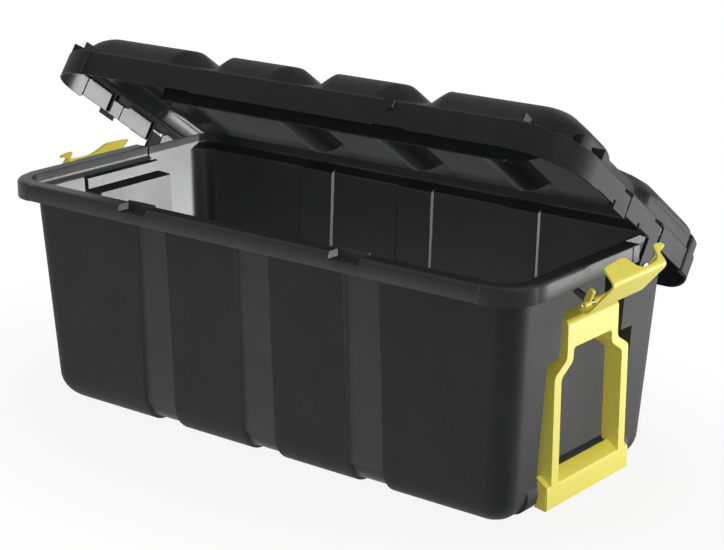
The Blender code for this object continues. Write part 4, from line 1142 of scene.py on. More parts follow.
@dataclass
class Lid:
    """The domed lid: skirt, ledge, four domes and what stands inside, built closed and then opened.

    Its heights are measured up from the lid's lower edge, its insets in from its outer edges, and its
    places along Y as they are when it is closed.
    """

    plan: TrunkPlan
    panel: bpy.types.Material
    smooth: bpy.types.Material
    front_landing: float = 0.0048
    rear_overhang: float = 0.0272
    front_radius: float = 0.090
    rear_radius: float = 0.045
    skirt: float = 0.0366
    side_skirt: float = 0.0336
    rise: float = 0.0885
    shoulder: float = 0.017
    ledge_rise: float = 0.0015
    rear_drop: float = 0.012
    front_dome: tuple[tuple[float, float], ...] = (
        (0.0280, 0.0600), (0.0360, 0.0710), (0.0470, 0.0800), (0.0700, 0.0885), (0.0890, 0.0885))
    side_dome: tuple[tuple[float, float], ...] = (
        (0.0210, 0.0620), (0.0285, 0.0690), (0.0435, 0.0772), (0.0640, 0.0885), (0.0850, 0.0885))
    rear_dome: tuple[tuple[float, float], ...] = (
        (0.0009, 0.0660), (0.0090, 0.0744), (0.0240, 0.0816), (0.0500, 0.0885), (0.0750, 0.0885))
    rear_wall: tuple[float, float] = (0.030, 0.0585)
    bends: tuple[float, ...] = (0.0, 0.0035, 0.004, 0.008, 0.007, 0.009, 0.012, 0.0)
    valley_depth: float = 0.0205
    ridge_depth: float = 0.022
    valley_power: float = 1.3
    ridge_power: float = 0.5
    valley_top: float = 0.075
    valley_floor: float = 0.005
    valley_side: float = 0.035
    mouth_floor: float = 0.045
    mouth_side: float = 0.012
    mouth_start: float = -0.1483
    mouth_end: float = -0.1993
    mouth_power: float = 1.3
    rear_valley: float = 0.1
    rear_fade: float = 0.006
    ridge_rear: float = 0.0513
    waist_depth: float = 0.016
    waist_rear: tuple[float, float] = (0.0400, 0.0660)
    waist_front: tuple[float, float] = (-0.0850, -0.0300)
    waist_rise: tuple[float, float] = (0.003, 0.020)
    swell_depth: float = 0.014
    swell_start: tuple[float, float] = (0.0560, 0.0820)
    swell_rise: tuple[float, float] = (0.055, 0.080)
    corner_x: float = 0.392
    corner_y: float = -0.1109
    corner_proud: float = 0.0025
    corner_drop: float = 0.0045
    corner_side_drop: float = 0.0035
    corner_fade: tuple[float, float] = (0.004, 0.012)
    front_drop: float = 0.003
    notch_half: float = 0.029
    notch_lift: float = -0.001
    step: float = 0.0002
    arm_radius: float = 0.012
    arm_thickness: float = 0.006
    lip_inset: float = 0.0435
    lip_drop: float = 0.0075
    lip_left: float = 0.257
    lip_right: float = 0.444
    lip_taper: float = 0.070
    lip_spacing: float = 0.006
    bead_height: float = 0.0030
    bead_ease: float = 0.0008
    catch_height: float = 0.0055
    catch_drop: float = 0.0065
    catch_start: float = 0.0223
    catch_end: float = 0.0583
    gusset_angles: tuple[float, ...] = (8.0, 35.0, 61.0, 91.0)
    gusset_thickness: float = 0.0025
    gusset_top: float = 0.049
    gusset_lean: float = 0.006
    gusset_inset: float = 0.0005
    inset: float = 0.0003
    slots: tuple[tuple[float, float, float], ...] = ((-0.0181, -0.0146, 0.0263), (0.0881, 0.0959, 0.0300))
    pockets: tuple[tuple[float, float, float], ...] = ((-0.0398, -0.0233, -0.0142), (0.0642, 0.0817, 0.0900))
    pocket_inset: float = 0.0099
    pocket_low: float = 0.026
    pocket_high: float = 0.045
    pocket_flare: float = 0.0010
    slot_below: float = 0.005
    rib_places: tuple[float, ...] = (-0.0493, 0.0597)
    rib_thickness: float = 0.0035
    rib_depth: float = 0.007
    rib_drop: float = 0.0015
    pin_hole: float = 0.0033
    post_middle: float = 0.1895
    post_half: float = 0.0113
    post_proud: float = 0.0030
    post_top: tuple[float, float] = (0.0543, 0.0478)
    post_ease: float = 0.0015
    post_steps: int = 17
    lug_left: float = 0.181
    lug_right: float = 0.198
    lug_low: float = 0.019
    lug_point: float = 0.006
    overlap: float = 0.001
    spacing: float = 0.02
    valley_steps: int = 18
    waist_steps: int = 9
    corner_steps: int = 20
    top_rows: int = 25
    stations: Round = field(init=False)

    def __post_init__(self) -> None:
        """Places the stations round the lid."""
        plan, spans = self.plan, []
        mouth = self.mouth_floor + self.mouth_side
        for centre in plan.centres:
            for side in (-1, 1):
                near, far = sorted((centre + side * self.valley_floor, centre + side * mouth))
                spans += [(near - self.overlap, far + self.overlap)]
        steps = []
        for edge in (self.corner_x, plan.pitch - self.notch_half, plan.pitch + self.notch_half):
            steps += mirrored(edge - self.step, edge + self.step)
        limit = plan.half_length - self.rear_radius
        front = np.unique(np.concatenate([places(-limit, limit, spans, self.spacing, self.valley_steps),
                                          places(-limit, limit, steps, 2 * limit, 2)]))
        near, far = self.front_y, self.rear_y
        waists = [self.waist_rear, self.waist_front]
        steps = [(self.corner_y - self.step, self.corner_y + self.step)]
        right = np.unique(np.concatenate([places(near, far, waists, self.spacing, self.waist_steps),
                                          places(near, far, steps, far - near, 2)]))
        self.stations = Round.of(front, right, self.corner_steps)

    @property
    def front_y(self) -> float:
        """The closed lid's front edge."""
        return -self.plan.side_top - self.front_landing

    @property
    def rear_y(self) -> float:
        """The closed lid's rear edge."""
        return self.plan.side_top + self.plan.wall + self.rear_overhang

    def valley(self, x: Array, y: Array, power: float) -> Array:
        """How deep the valleys are at a place, from 0 on a dome to 1 on a valley's floor.

        From the flat top forwards the floor widens and the sides get steeper.
        """
        nearest = np.min([np.abs(x - centre) for centre in self.plan.centres], axis=0)
        widen = np.clip((self.mouth_start - y) / (self.mouth_start - self.mouth_end), 0, 1)
        widen = widen ** self.mouth_power
        floor = self.valley_floor + (self.mouth_floor - self.valley_floor) * widen
        side = self.valley_side + (self.mouth_side - self.valley_side) * widen
        return (1 - np.clip((nearest - floor) / side, 0, 1)) ** power

    def section(self, inner: bool) -> list[tuple[tuple[float, float], ...]]:
        """The lid's section as rows of (inset, height) for its front, sides and rear.

        The rows run from the skirt's lower edge over the ledge and up the dome to its flat top, and are
        rounded where they turn. The underside's lie one wall's thickness inside the outer ones.

        Args:
            inner: whether it is the underside's.

        Returns:
            The rows.
        """
        ledge = (self.shoulder, self.skirt + self.ledge_rise)
        front = ((0.0, 0.0), (0.0, self.skirt), ledge) + self.front_dome
        side = ((0.0, 0.0), (0.0, self.side_skirt), ledge) + self.side_dome
        rear = ((0.0, -self.rear_drop), (0.0, self.rear_wall[0]), (0.0, self.rear_wall[1])) + self.rear_dome
        lines = [np.array(line) for line in (front, side, rear)]
        if inner:
            lines = [self.inside(line) for line in lines]
        return list(zip(*[self.bent(line) for line in lines]))

    def inside(self, line: Array) -> Array:
        """A section moved in by the wall's thickness, along the half angles of its corners."""
        along = unit(np.diff(line, axis=0))
        normal = np.stack([along[:, 1], -along[:, 0]], 1)
        before, after = np.vstack([normal[:1], normal]), np.vstack([normal, normal[-1:]])
        middle = unit(before + after)
        return line + middle * self.plan.wall / np.sum(middle * before, axis=1, keepdims=True)

    def bent(self, line: Array) -> list[tuple[float, float]]:
        """A section with quadratic curves in the place of its bends, and one row between two of them."""
        points = [line[0]]
        for k in range(1, len(line)):
            if not self.bends[k]:
                points.append(line[k])
                continue
            before, after = line[k - 1] - line[k], line[k + 1] - line[k]
            size = min(self.bends[k], 0.45 * np.linalg.norm(before), 0.45 * np.linalg.norm(after))
            start, end = line[k] + unit(before) * size, line[k] + unit(after) * size
            points.append((points[-1] + start) / 2)
            points += [quadratic(start, line[k], end, share) for share in np.linspace(0, 1, 5)]
        return [tuple(point) for point in points]

    def lowered(self, x: Array, y: Array, height: Array, inset: float, inner: bool) -> Array:
        """Heights with the valleys taken out.

        In front a valley's floor rises evenly from the ledge to the flat top. Behind it takes the same
        share of the height over the ledge everywhere.

        Args:
            x: the places along X.
            y: the places along Y.
            height: the domes' heights.
            inset: the front section's inset.
            inner: whether this is the underside.

        Returns:
            The heights.
        """
        wall = self.plan.wall if inner else 0.0
        foot = self.skirt + self.ledge_rise - wall
        bottom = self.rise - wall - (self.ridge_depth if inner else self.valley_depth)
        climb = min(max((inset - self.shoulder - wall) / (self.valley_top - self.shoulder), 0.0), 1.0)
        share = (self.rise - wall - bottom) / (self.rise - wall - foot)
        followed = height - np.maximum(0.0, height - foot) * share
        floor = np.where(y < 0, np.minimum(foot + (bottom - foot) * climb, height), followed)
        behind = self.plan.side_top - self.ridge_rear
        fading = 1 + (self.rear_valley - 1) * smooth_step(y, behind - self.rear_fade, behind)
        depth = self.valley(x, y, self.ridge_power if inner else self.valley_power)
        return np.where(height > foot, height + (floor - height) * depth * fading, height)

    def in_corner(self, x: Array, y: Array) -> Array:
        """1 on the two front corner pieces of the skirt, else 0."""
        beyond = smooth_step(np.abs(x), self.corner_x - self.step, self.corner_x + self.step)
        return beyond * (1 - smooth_step(y, self.corner_y - self.step, self.corner_y + self.step))

    def edge_rise(self, x: Array, y: Array) -> Array:
        """How far the skirt's lower edge lies over the lid's base, lower in front and at its corners."""
        corner = self.in_corner(x, y)
        backwards = smooth_step(y, self.front_y, self.corner_y)
        drop = self.corner_drop + (self.corner_side_drop - self.corner_drop) * backwards
        notch = near_any(x, self.plan.notches, self.notch_half, self.step)
        straight = (self.stations.forward < -0.99) * (1 - corner)
        return straight * (notch * (self.notch_lift + self.front_drop) - self.front_drop) - corner * drop

    def ring(self, row: tuple[tuple[float, float], ...], inner: bool, level: float) -> Array:
        """One ring of the lid.

        Args:
            row: (inset, height) of the front, the sides and the rear.
            inner: whether it lies on the underside.
            level: the height of the side's outer row that it belongs to, 0 at the skirt's lower edge.

        Returns:
            Its points.
        """
        stations = self.stations
        (front_in, front_up), (side_in, side_up), (rear_in, rear_up) = row
        facing, least = stations.forward, 2 * self.plan.wall
        up = side_up + (np.where(facing > 0, rear_up, front_up) - side_up) * facing ** 2
        length = self.plan.half_length - side_in
        near, far = self.front_y + front_in, self.rear_y - rear_in
        front_round = max(self.front_radius - front_in, least)
        rear_round = max(self.rear_radius - rear_in, least)
        along = np.where(facing > 0, rear_round, front_round)
        corner = np.where(facing > 0, self.rear_radius, self.front_radius)
        across = np.maximum(corner - side_in, least)
        side = np.where(stations.across > 0, 1.0, -1.0)
        x = np.where(stations.kind == 0, np.clip(stations.along, across - length, length - across),
                     side * (length - across) + across * stations.across)
        y = np.where(stations.kind == 1, np.clip(stations.along, near + front_round, far - rear_round),
                     np.where(facing > 0, far - along, near + along) + along * facing)
        waist = smooth_step(y, *self.waist_front) * (1 - smooth_step(y, *self.waist_rear))
        start, full = (self.skirt + rise for rise in self.waist_rise)
        waist = waist * self.waist_depth * float(smooth_step(level, start, full))
        swell = smooth_step(y, *self.swell_start) * float(smooth_step(level, *self.swell_rise))
        x = x - side * (waist - self.swell_depth * swell) * np.abs(stations.across)
        up = self.lowered(x, y, up, front_in, inner)
        proud = self.in_corner(x, y) * self.corner_proud * float(1 - smooth_step(side_in, *self.corner_fade))
        if level <= 0:
            up = up + self.edge_rise(x, y)
        return np.stack([x + proud * stations.across, y + proud * facing, self.plan.lid_base + up], 1)

    def surface(self, inner: bool) -> list[Array]:
        """The rings of one side of the lid, drawn together to a line along its middle at the top."""
        levels = [row[1][1] for row in self.section(False)]
        rings = [self.ring(row, inner, level) for row, level in zip(self.section(inner), levels)]
        last = rings[-1]
        height = self.rise - (self.plan.wall if inner else 0.0)
        spine = last.copy()
        spine[:, 1] = 0.0
        side = np.where(self.stations.across > 0, self.spine_half, -self.spine_half)
        straight = np.clip(self.stations.along, -self.spine_half, self.spine_half)
        spine[:, 0] = np.where(self.stations.kind == 0, straight, side)
        for share in np.linspace(0, 1, self.top_rows + 1)[1:]:
            x, y = (last[:, k] * (1 - share) + spine[:, k] * share for k in (0, 1))
            up = self.lowered(x, y, np.full(len(x), height), 1.0, inner)
            rings.append(np.stack([x, y, self.plan.lid_base + up], 1))
        return rings

    @property
    def spine_half(self) -> float:
        """Half the length of the line that the top's rings close on."""
        return self.plan.half_length - self.side_dome[-1][0] - 1.5 * self.waist_depth

    def shell(self) -> bpy.types.Object:
        """The lid's moulding without its details, as one closed grid."""
        inner, outer = self.surface(True), self.surface(False)
        grid = np.stack(inner[::-1] + outer)
        skin = np.full((len(grid) - 1, grid.shape[1]), Skin.PANEL, np.int32)
        skin[:len(inner) - 1] = Skin.SMOOTH
        return Draft("trunk_lid").sheet(grid, skin, True).build(0.00001)

    def arm(self, side: End) -> Draft:
        """One hinge arm, hanging inside the skirt."""
        hinge = (self.plan.lid_hinge.y, self.plan.lid_hinge.z)
        outer = self.plan.half_length - 0.1 * self.plan.wall
        foot = arc_points(hinge, self.arm_radius, 180, 360, 16)
        high = self.plan.lid_base + self.skirt / 2
        rear, front = hinge[0] + self.arm_radius, hinge[0] - self.arm_radius
        outline = np.concatenate([foot, [(rear, high), (front, high)]])
        return Draft("arm").prism(outline, 0, side.value * (outer - self.arm_thickness), side.value * outer)

    def lip(self) -> list[Draft]:
        """The upright lip inside the front, whose upper edge runs into the domes' underside, and its bead."""
        wall, base = self.plan.wall, self.plan.lid_base
        x = places(-self.lip_left, self.lip_right, [], self.lip_spacing)
        near, low = self.front_y + self.lip_inset, base - self.lip_drop
        under = self.under_height(x, near + 0.5 * wall) + 0.7 * wall
        bead_end = self.lip_right - self.lip_taper
        edge = low + self.lip_taper / 4 * smooth_step(x, bead_end, self.lip_right)
        outline = np.concatenate([np.stack([x, edge], 1), np.stack([x[::-1], under[::-1]], 1)])
        proud, sunk, high = near - 0.4 * wall, near + wall / 2, low + self.bead_height
        bead = np.array([(proud, low - self.step), (sunk, low), (sunk, high), (proud, high)])
        return [Draft("lip").prism(outline, 1, near, near + wall),
                Draft("bead").prism(eased(bead, self.bead_ease), 0, -self.lip_left - self.overlap, bead_end)]

    def under_height(self, x: Array, y: float) -> Array:
        """The height of the underside over a line near the front, lower where that runs into the corners."""
        rows = self.section(True)
        inset = y - self.front_y
        beyond = np.clip(np.abs(x) - (self.plan.half_length - self.front_radius), 0, None)
        here = self.front_radius - np.hypot(beyond, self.front_radius - inset)
        up = np.interp(here, [row[0][0] for row in rows], [row[0][1] for row in rows])
        return self.plan.lid_base + self.lowered(x, np.full(len(x), y), up, inset, True)

    def catches(self, side: End) -> list[Draft]:
        """The catches on a side skirt: one with a tooth near the front, and one without behind it."""
        wall, base = self.plan.wall, self.plan.lid_base
        skin, outer, inset = self.plan.half_length - 0.5 * wall, self.plan.lid_reach, self.inset
        near, far = self.catch_start, self.catch_end
        low, high = sorted((side.value * skin, side.value * outer))
        shapes = [Draft("catch").block((low, start, base + inset), (high, end, base + self.catch_height))
                  for start, end in mirrored(near, far)]
        skin = self.plan.half_length + self.overlap
        low, high = sorted((side.value * skin, side.value * (outer - inset)))
        shapes.append(Draft("tooth").block((low, inset - far, base - self.catch_drop),
                                           (high, -near - inset, base + 0.5 * self.catch_height)))
        return shapes

    def gussets(self, side: End) -> list[Draft]:
        """The thin plates that stand on the ledge round a front corner, between the dome and the skirt."""
        centre = Vector((self.plan.half_length - self.front_radius, self.front_y + self.front_radius))
        edge = self.front_radius + self.corner_proud - self.gusset_inset
        dome = self.front_radius - self.shoulder - 0.5 * self.plan.wall
        ledge = self.skirt - 0.4 * self.plan.wall
        outline = np.array([(dome, ledge), (edge, ledge), (edge, self.gusset_top),
                            (dome - self.gusset_lean, self.gusset_top)])
        shapes = []
        for angle in self.gusset_angles:
            plate = Draft("gusset").prism(outline, 1, -self.gusset_thickness / 2, self.gusset_thickness / 2)
            turn = Matrix.Rotation(math.radians(angle - 90), 4, "Z")
            place = Matrix.Translation((centre.x, centre.y, self.plan.lid_base))
            flip = Matrix.Scale(side.value, 4, (1, 0, 0))
            shapes.append(plate.moved(flip @ place @ turn))
        return shapes

    def post(self, side: End) -> Draft:
        """The rounded post at a rear corner, an upright half oval whose top slopes down backwards."""
        skin = self.plan.half_length - 0.6 * self.plan.wall
        turn = np.linspace(-math.pi / 2, math.pi / 2, self.post_steps)
        reach = self.plan.half_length + self.post_proud - skin
        x = skin + reach * np.abs(np.cos(turn)) ** 0.5
        y = self.post_middle + self.post_half * np.sin(turn)
        share = (np.sin(turn) + 1) / 2
        top = self.post_top[0] + (self.post_top[1] - self.post_top[0]) * share
        ease, foot = self.post_ease, np.full(self.post_steps, -self.corner_side_drop)
        grid = np.stack([np.stack([x - ease, y, foot], 1),
                         np.stack([x, y, foot + ease], 1),
                         np.stack([x, y, top - ease], 1),
                         np.stack([x - ease, y, top], 1)])
        back = grid[:, ::-1].copy()
        back[..., 0] = skin - 0.5 * ease
        grid = np.concatenate([grid, back], axis=1)
        grid[..., 0] *= side.value
        grid[..., 2] += self.plan.lid_base
        return Draft("post").sheet(grid, 0, True, True, True)

    def ribs(self, side: End) -> list[Draft]:
        """The upright ribs inside an end's skirt."""
        outer = self.plan.half_length - 0.5 * self.plan.wall
        inner = self.plan.half_length - self.plan.wall - self.rib_depth
        low, high = sorted((side.value * inner, side.value * outer))
        half = self.rib_thickness / 2
        foot, top = (self.plan.lid_base + up for up in (self.inset, self.side_skirt - self.rib_drop))
        return [Draft("rib").block((low, y - half, foot), (high, y + half, top)) for y in self.rib_places]

    def pocket_walls(self, side: End) -> list[Draft]:
        """The blocks under an end's ledge that its pockets are sunk into."""
        wall, base, length = self.plan.wall, self.plan.lid_base, self.plan.half_length
        inner, outer = length - self.pocket_inset - wall, length - 0.3 * wall
        low, high = sorted((side.value * inner, side.value * outer))
        return [Draft("pocket_wall").block((low, near - wall, base + self.pocket_low - wall),
                                           (high, far + wall, base + self.side_skirt - 0.2 * wall))
                for near, _, far in self.pockets]

    def lug(self) -> Draft:
        """The five-sided lug on the front skirt over the right padlock notch."""
        low, middle = self.plan.lid_base + self.lug_low, (self.lug_left + self.lug_right) / 2
        top, sides = self.plan.lid_base + self.skirt - 0.5 * self.plan.wall, low + self.lug_point
        outline = np.array([(self.lug_left, top), (self.lug_left, sides), (middle, low),
                            (self.lug_right, sides), (self.lug_right, top)])
        front, wall = self.front_y, self.plan.wall
        return Draft("lug").prism(outline, 1, front - wall, front + 0.5 * wall)

    def openings(self, side: End) -> list[Draft]:
        """The slots through an end's skirt, the two pockets sunk into its ledge and the hinge pin's hole."""
        plan, base = self.plan, self.plan.lid_base
        inner, outer = plan.half_length - 2 * plan.wall, plan.half_length + 2 * plan.wall
        low, high = sorted((side.value * inner, side.value * outer))
        cuts = [Draft("slot").block((low, start, base - self.slot_below), (high, end, base + top))
                for start, end, top in self.slots]
        ledge = plan.half_length - self.pocket_inset
        for near, bend, far in self.pockets:
            outline = np.array([(outer, near), (ledge, near), (ledge, bend),
                                (plan.half_length - 2 * self.step, far), (outer, far + self.pocket_flare)])
            cuts.append(Draft("pocket").prism(outline * (side.value, 1), 2, base + self.pocket_low,
                                              base + self.pocket_high))
        hinge = plan.lid_hinge
        near, far = side.value * (inner - plan.wall), side.value * outer
        cuts.append(Draft("hole").rod(0, (0, hinge.y, hinge.z), near, far, self.pin_hole))
        return cuts

    def build(self) -> None:
        """Makes the lid closed, opens it and dresses it."""
        lid = self.shell()
        added = [self.arm(side) for side in End] + self.lip() + [self.lug()]
        for side in End:
            added += self.catches(side) + self.gussets(side) + self.ribs(side) + [self.post(side)]
            added += self.pocket_walls(side)
        carve(lid, added, "UNION")
        carve(lid, [cut for side in End for cut in self.openings(side)], "DIFFERENCE")
        lid.data.transform(self.plan.opened())
        dress(lid, "lid", [self.panel, self.smooth], ["lid"], sharp=38.0)


@dataclass
class Latch:
    """One end latch: a bent plate whose lip has a wide lobe, a scallop and a narrow hook, on a barrel.

    It is drawn closed at the right end, along the plate's section, and then tilted out to its rest.
    """

    plan: TrunkPlan
    side: End
    finish: bpy.types.Material
    plate: float = 0.0032
    foot: tuple[float, float] = (0.0015, -0.0021)
    bend: tuple[float, float] = (0.0149, -0.0012)
    fold: tuple[float, float] = (0.0360, 0.0565)
    tip: tuple[float, float] = (0.0090, 0.0708)
    bend_reach: float = 0.006
    fold_reach: float = 0.007
    near_end: float = -0.0775
    far_end: float = 0.0600
    hook_end: float = 0.0795
    barrel_radius: float = 0.0045
    barrel_half: float = 0.066
    post_middle: float = 0.046
    post_half: float = 0.004
    bore: float = 0.0023
    ease: float = 0.0015
    ease_steps: int = 5
    lip_spare: float = 0.006
    lip_bends: tuple[tuple[float, float], ...] = ((-0.0300, -0.0100), (0.0500, 0.0560))
    step: float = 0.0002
    spacing: float = 0.0025
    prong: tuple[tuple[float, float], ...] = (
        (-0.006, 0.0045), (0.003, -0.00225), (0.0036, 0.0200), (0.0, 0.0222), (-0.0048, 0.0225))
    prong_places: tuple[float, float] = (-0.0545, 0.0605)
    prong_half: float = 0.0035
    lip_edge: tuple[tuple[float, float], ...] = (
        (-0.0775, 0.86), (-0.0750, 0.93), (-0.0660, 1.00), (-0.0300, 1.07), (-0.0240, 1.05), (-0.0185, 0.97),
        (-0.0130, 0.74), (-0.0060, 0.48), (0.0020, 0.34), (0.0110, 0.30), (0.0260, 0.30), (0.0420, 0.36),
        (0.0490, 0.48), (0.0525, 0.72), (0.0550, 1.03), (0.0590, 1.07), (0.0680, 1.06), (0.0765, 0.98),
        (0.0795, 0.88))
    hook_edge: tuple[tuple[float, float], ...] = (
        (0.0600, 0.62), (0.0640, 0.66), (0.0720, 0.72), (0.0795, 0.80))

    def path(self) -> tuple[Array, Array, float]:
        """The plate's middle line in the section, with its bends rounded.

        Returns:
            Its points as (x, z), the length up to each point, and the length at which the lip starts.
        """
        hinge = np.array([self.plan.latch_hinge.x, self.plan.latch_hinge.z])
        corners = [hinge + np.array(point) for point in (self.foot, self.bend, self.fold, self.tip)]
        corners[3] = corners[3] + unit(corners[3] - corners[2]) * self.lip_spare
        points = [corners[0]]
        for k, reach in ((1, self.bend_reach), (2, self.fold_reach)):
            start = corners[k] + unit(corners[k - 1] - corners[k]) * reach
            end = corners[k] + unit(corners[k + 1] - corners[k]) * reach
            share = np.linspace(0, 1, 9)[:, None]
            points.extend(quadratic(start, corners[k], end, share))
        points.append(corners[3])
        line = np.array(points)
        run = np.concatenate([[0.0], np.cumsum(np.linalg.norm(np.diff(line, axis=0), axis=1))])
        return line, run, float(run[-1] - np.linalg.norm(line[-1] - corners[2]))

    def body(self) -> Draft:
        """The plate as one tube of sections along Y, thinned to a round edge all round."""
        line, run, lip_start = self.path()
        lip_length, ease = run[-1] - lip_start - self.lip_spare, self.ease
        edges = [*self.lip_bends, (self.far_end - self.step, self.far_end + self.step)]
        y = places(self.near_end, self.hook_end, edges, self.spacing, 9)
        ends = ease * (1 - np.cos(np.linspace(0, math.pi / 2, self.ease_steps)))
        y = np.unique(np.concatenate([y, self.near_end + ends, self.hook_end - ends]))
        high = lip_start + lip_length * np.interp(y, *np.array(self.lip_edge).T)
        hook = lip_start + lip_length * np.interp(y, *np.array(self.hook_edge).T)
        low = np.where(y < self.far_end, 0.0, hook)
        inner = places(0.0, run[-1], [(value, value) for value in run[1:-1]], 2 * ease)
        middle = np.clip(inner[None, :], (low + ease)[:, None], (high - ease)[:, None])
        reach = np.concatenate([low[:, None] + ends, middle, (high[:, None] - ends)[:, ::-1]], axis=1)
        gap = np.minimum(np.minimum(reach - low[:, None], high[:, None] - reach),
                         np.minimum(y - self.near_end, self.hook_end - y)[:, None])
        half = 0.5 * self.plate * np.sqrt(np.clip(1 - (1 - np.minimum(gap / ease, 1.0)) ** 2, 0.0016, 1.0))
        along = unit(np.gradient(line, run, axis=0))
        x, z = (np.interp(reach, run, line[:, k]) for k in (0, 1))
        tx, tz = (np.interp(reach, run, along[:, k]) for k in (0, 1))
        across = np.broadcast_to(y[:, None], x.shape)
        face, back = (np.stack([x - out * tz, across, z + out * tx], 2) for out in (half, -half))
        grid = np.concatenate([face, back[:, ::-1]], axis=1)
        return Draft(f"latch_{self.side.word}_body").sheet(grid, 0, True, True, True)

    def barrels(self) -> list[Draft]:
        """The three knuckles of the barrel between and beside the tub's posts."""
        hinge = self.plan.latch_hinge
        inner, outer = self.post_middle - self.post_half, self.post_middle + self.post_half
        spans = [(-self.barrel_half, -outer), (-inner, inner), (outer, self.barrel_half)]
        return [Draft("knuckle").rod(1, (hinge.x, 0, hinge.z), start, end, self.barrel_radius, 0.0005)
                for start, end in spans]

    def prongs(self) -> list[Draft]:
        """The prongs that stand up behind the barrel's ends."""
        hinge = self.plan.latch_hinge
        outline = eased(np.array(self.prong), 0.0012) + (hinge.x, hinge.z)
        return [Draft("prong").prism(outline, 1, middle - self.prong_half, middle + self.prong_half)
                for middle in self.prong_places]

    def build(self) -> None:
        """Makes the latch at its rest tilt, turned round for the left end, and dresses it."""
        latch = self.body().build()
        carve(latch, self.barrels() + self.prongs(), "UNION")
        hinge = self.plan.latch_hinge
        cuts = [Draft("bore").rod(1, (hinge.x, 0, hinge.z), -0.09, 0.09, self.bore)]
        for side in (-1, 1):
            middle = side * self.post_middle
            cuts.append(Draft("gap").rod(1, (hinge.x, 0, hinge.z), middle - self.post_half,
                                         middle + self.post_half, self.barrel_radius + 0.001))
        carve(latch, cuts, "DIFFERENCE")
        turn = Matrix.Rotation(math.pi if self.side is End.LEFT else 0.0, 4, "Z")
        latch.data.transform(turn @ self.plan.tilted())
        body = f"latch_{self.side.word}"
        dress(latch, body, [self.finish], [body], sharp=40.0)


@dataclass
class PullHandle:
    """One pull handle: an arch with two rails over a foot bar that clasps the barrel."""

    plan: TrunkPlan
    side: End
    finish: bpy.types.Material
    depth: float = 0.0283
    wall: float = 0.0035
    half_width: float = 0.096
    rail: float = 0.017
    top_half: float = 0.0655
    top_rail: float = 0.0155
    top_bar: float = 0.0415
    shoulder_drop: float = 0.0555
    shoulder_height: float = 0.018
    bullnose: float = 0.010
    bar_bottom: float = 0.022
    bar_top: float = 0.011
    barrel: float = 0.0288
    eye: float = 0.0085
    ear_inner: float = 0.0995
    ear_outer: float = 0.1065
    stub: float = 0.010
    stub_radius: float = 0.004
    corner: float = 0.007
    bar_ease: float = 0.0025
    toe: float = 0.003
    gap: float = 0.0003
    margin: float = 0.004

    def arch(self, inset: float) -> Array:
        """The arch seen from the end, as (y, z), drawn in by inset on every side and with eased corners."""
        top, shoulder = self.plan.handle_top, self.plan.handle_top - self.shoulder_drop
        outer, narrow = self.half_width - inset, self.top_half - inset
        inner, opening = self.half_width - self.rail + inset, self.top_half - self.top_rail + inset
        low = self.plan.pivot.z + 0.5 * self.bar_top + 4 * inset
        step = shoulder - self.shoulder_height
        right = [(outer, low), (outer, step), (narrow, shoulder - inset), (narrow, top - inset)]
        lowered = inset - 0.3 * self.shoulder_height
        under = [(opening, top - self.top_bar + inset), (opening, shoulder + lowered),
                 (inner, step + lowered), (inner, low)]
        left = [(-y, z) for y, z in reversed(right)]
        outline = np.array(right + left + [(-y, z) for y, z in reversed(under)] + under)
        return eased(outline, self.corner, 5)

    def bar(self) -> Array:
        """The foot bar's section as (x, z), without the hollow that clears the barrel."""
        x, z = self.plan.pivot.x, self.plan.pivot.z
        front = self.plan.handle_front
        outline = np.array([(front, z - self.bar_bottom), (front, z + self.bar_top),
                            (x + 0.77 * self.barrel, z + self.bar_top + 0.8 * self.rail),
                            (x + 0.6 * self.barrel, z),
                            (x + 0.7 * self.barrel, z - 0.7 * self.barrel),
                            (front - self.toe, z - self.bar_bottom - 0.5 * self.toe)])
        return eased(outline, self.bar_ease)

    def build(self) -> None:
        """Makes the handle, turned round for the left end, and dresses it."""
        plan = self.plan
        x, z, front = plan.pivot.x, plan.pivot.z, plan.handle_front
        back = front - self.depth
        handle = Draft(f"handle_{self.side.word}_grip").prism(self.arch(0.0), 0, back, front).build()
        margin, top, nose = self.margin, plan.handle_top, self.bullnose
        pocket = Draft("pocket").prism(self.arch(self.wall), 0, back - margin, front - self.wall)
        beyond = [(front - nose, top + margin), (front + margin, top + margin), (front + margin, top - nose)]
        outline = np.concatenate([arc_points((front - nose, top - nose), nose, 0, 90, 12), beyond])
        half = self.top_half + margin
        carve(handle, [pocket, Draft("nose").prism(outline, 1, -half, half)], "DIFFERENCE")
        reach = self.ear_outer - self.gap
        carve(handle, [Draft("bar").prism(self.bar(), 1, -reach, reach)], "UNION")
        room = self.ear_outer + margin
        carve(handle, [Draft("room").rod(1, (x, 0, z), -room, room, self.barrel, segments=64)], "DIFFERENCE")
        ear_x, ear_low, ear_high = front - self.toe, z - self.bar_bottom + self.toe, z + 0.75 * self.eye
        ear = np.concatenate([arc_points((x, z), self.eye, 50, 310, 20),
                              [(ear_x, ear_low), (ear_x, ear_high)]])
        added = []
        for across in (-1, 1):
            near, far = sorted((across * self.ear_inner, across * self.ear_outer))
            added.append(Draft("ear").prism(ear, 1, near, far))
            near, far = across * (self.ear_outer - 0.003), across * (self.ear_outer + self.stub)
            added.append(Draft("stub").rod(1, (x, 0, z), near, far, self.stub_radius, 0.0005))
        carve(handle, added, "UNION")
        handle.data.transform(Matrix.Rotation(math.pi if self.side is End.LEFT else 0.0, 4, "Z"))
        body = f"handle_{self.side.word}"
        dress(handle, body, [self.finish], [body], sharp=40.0)


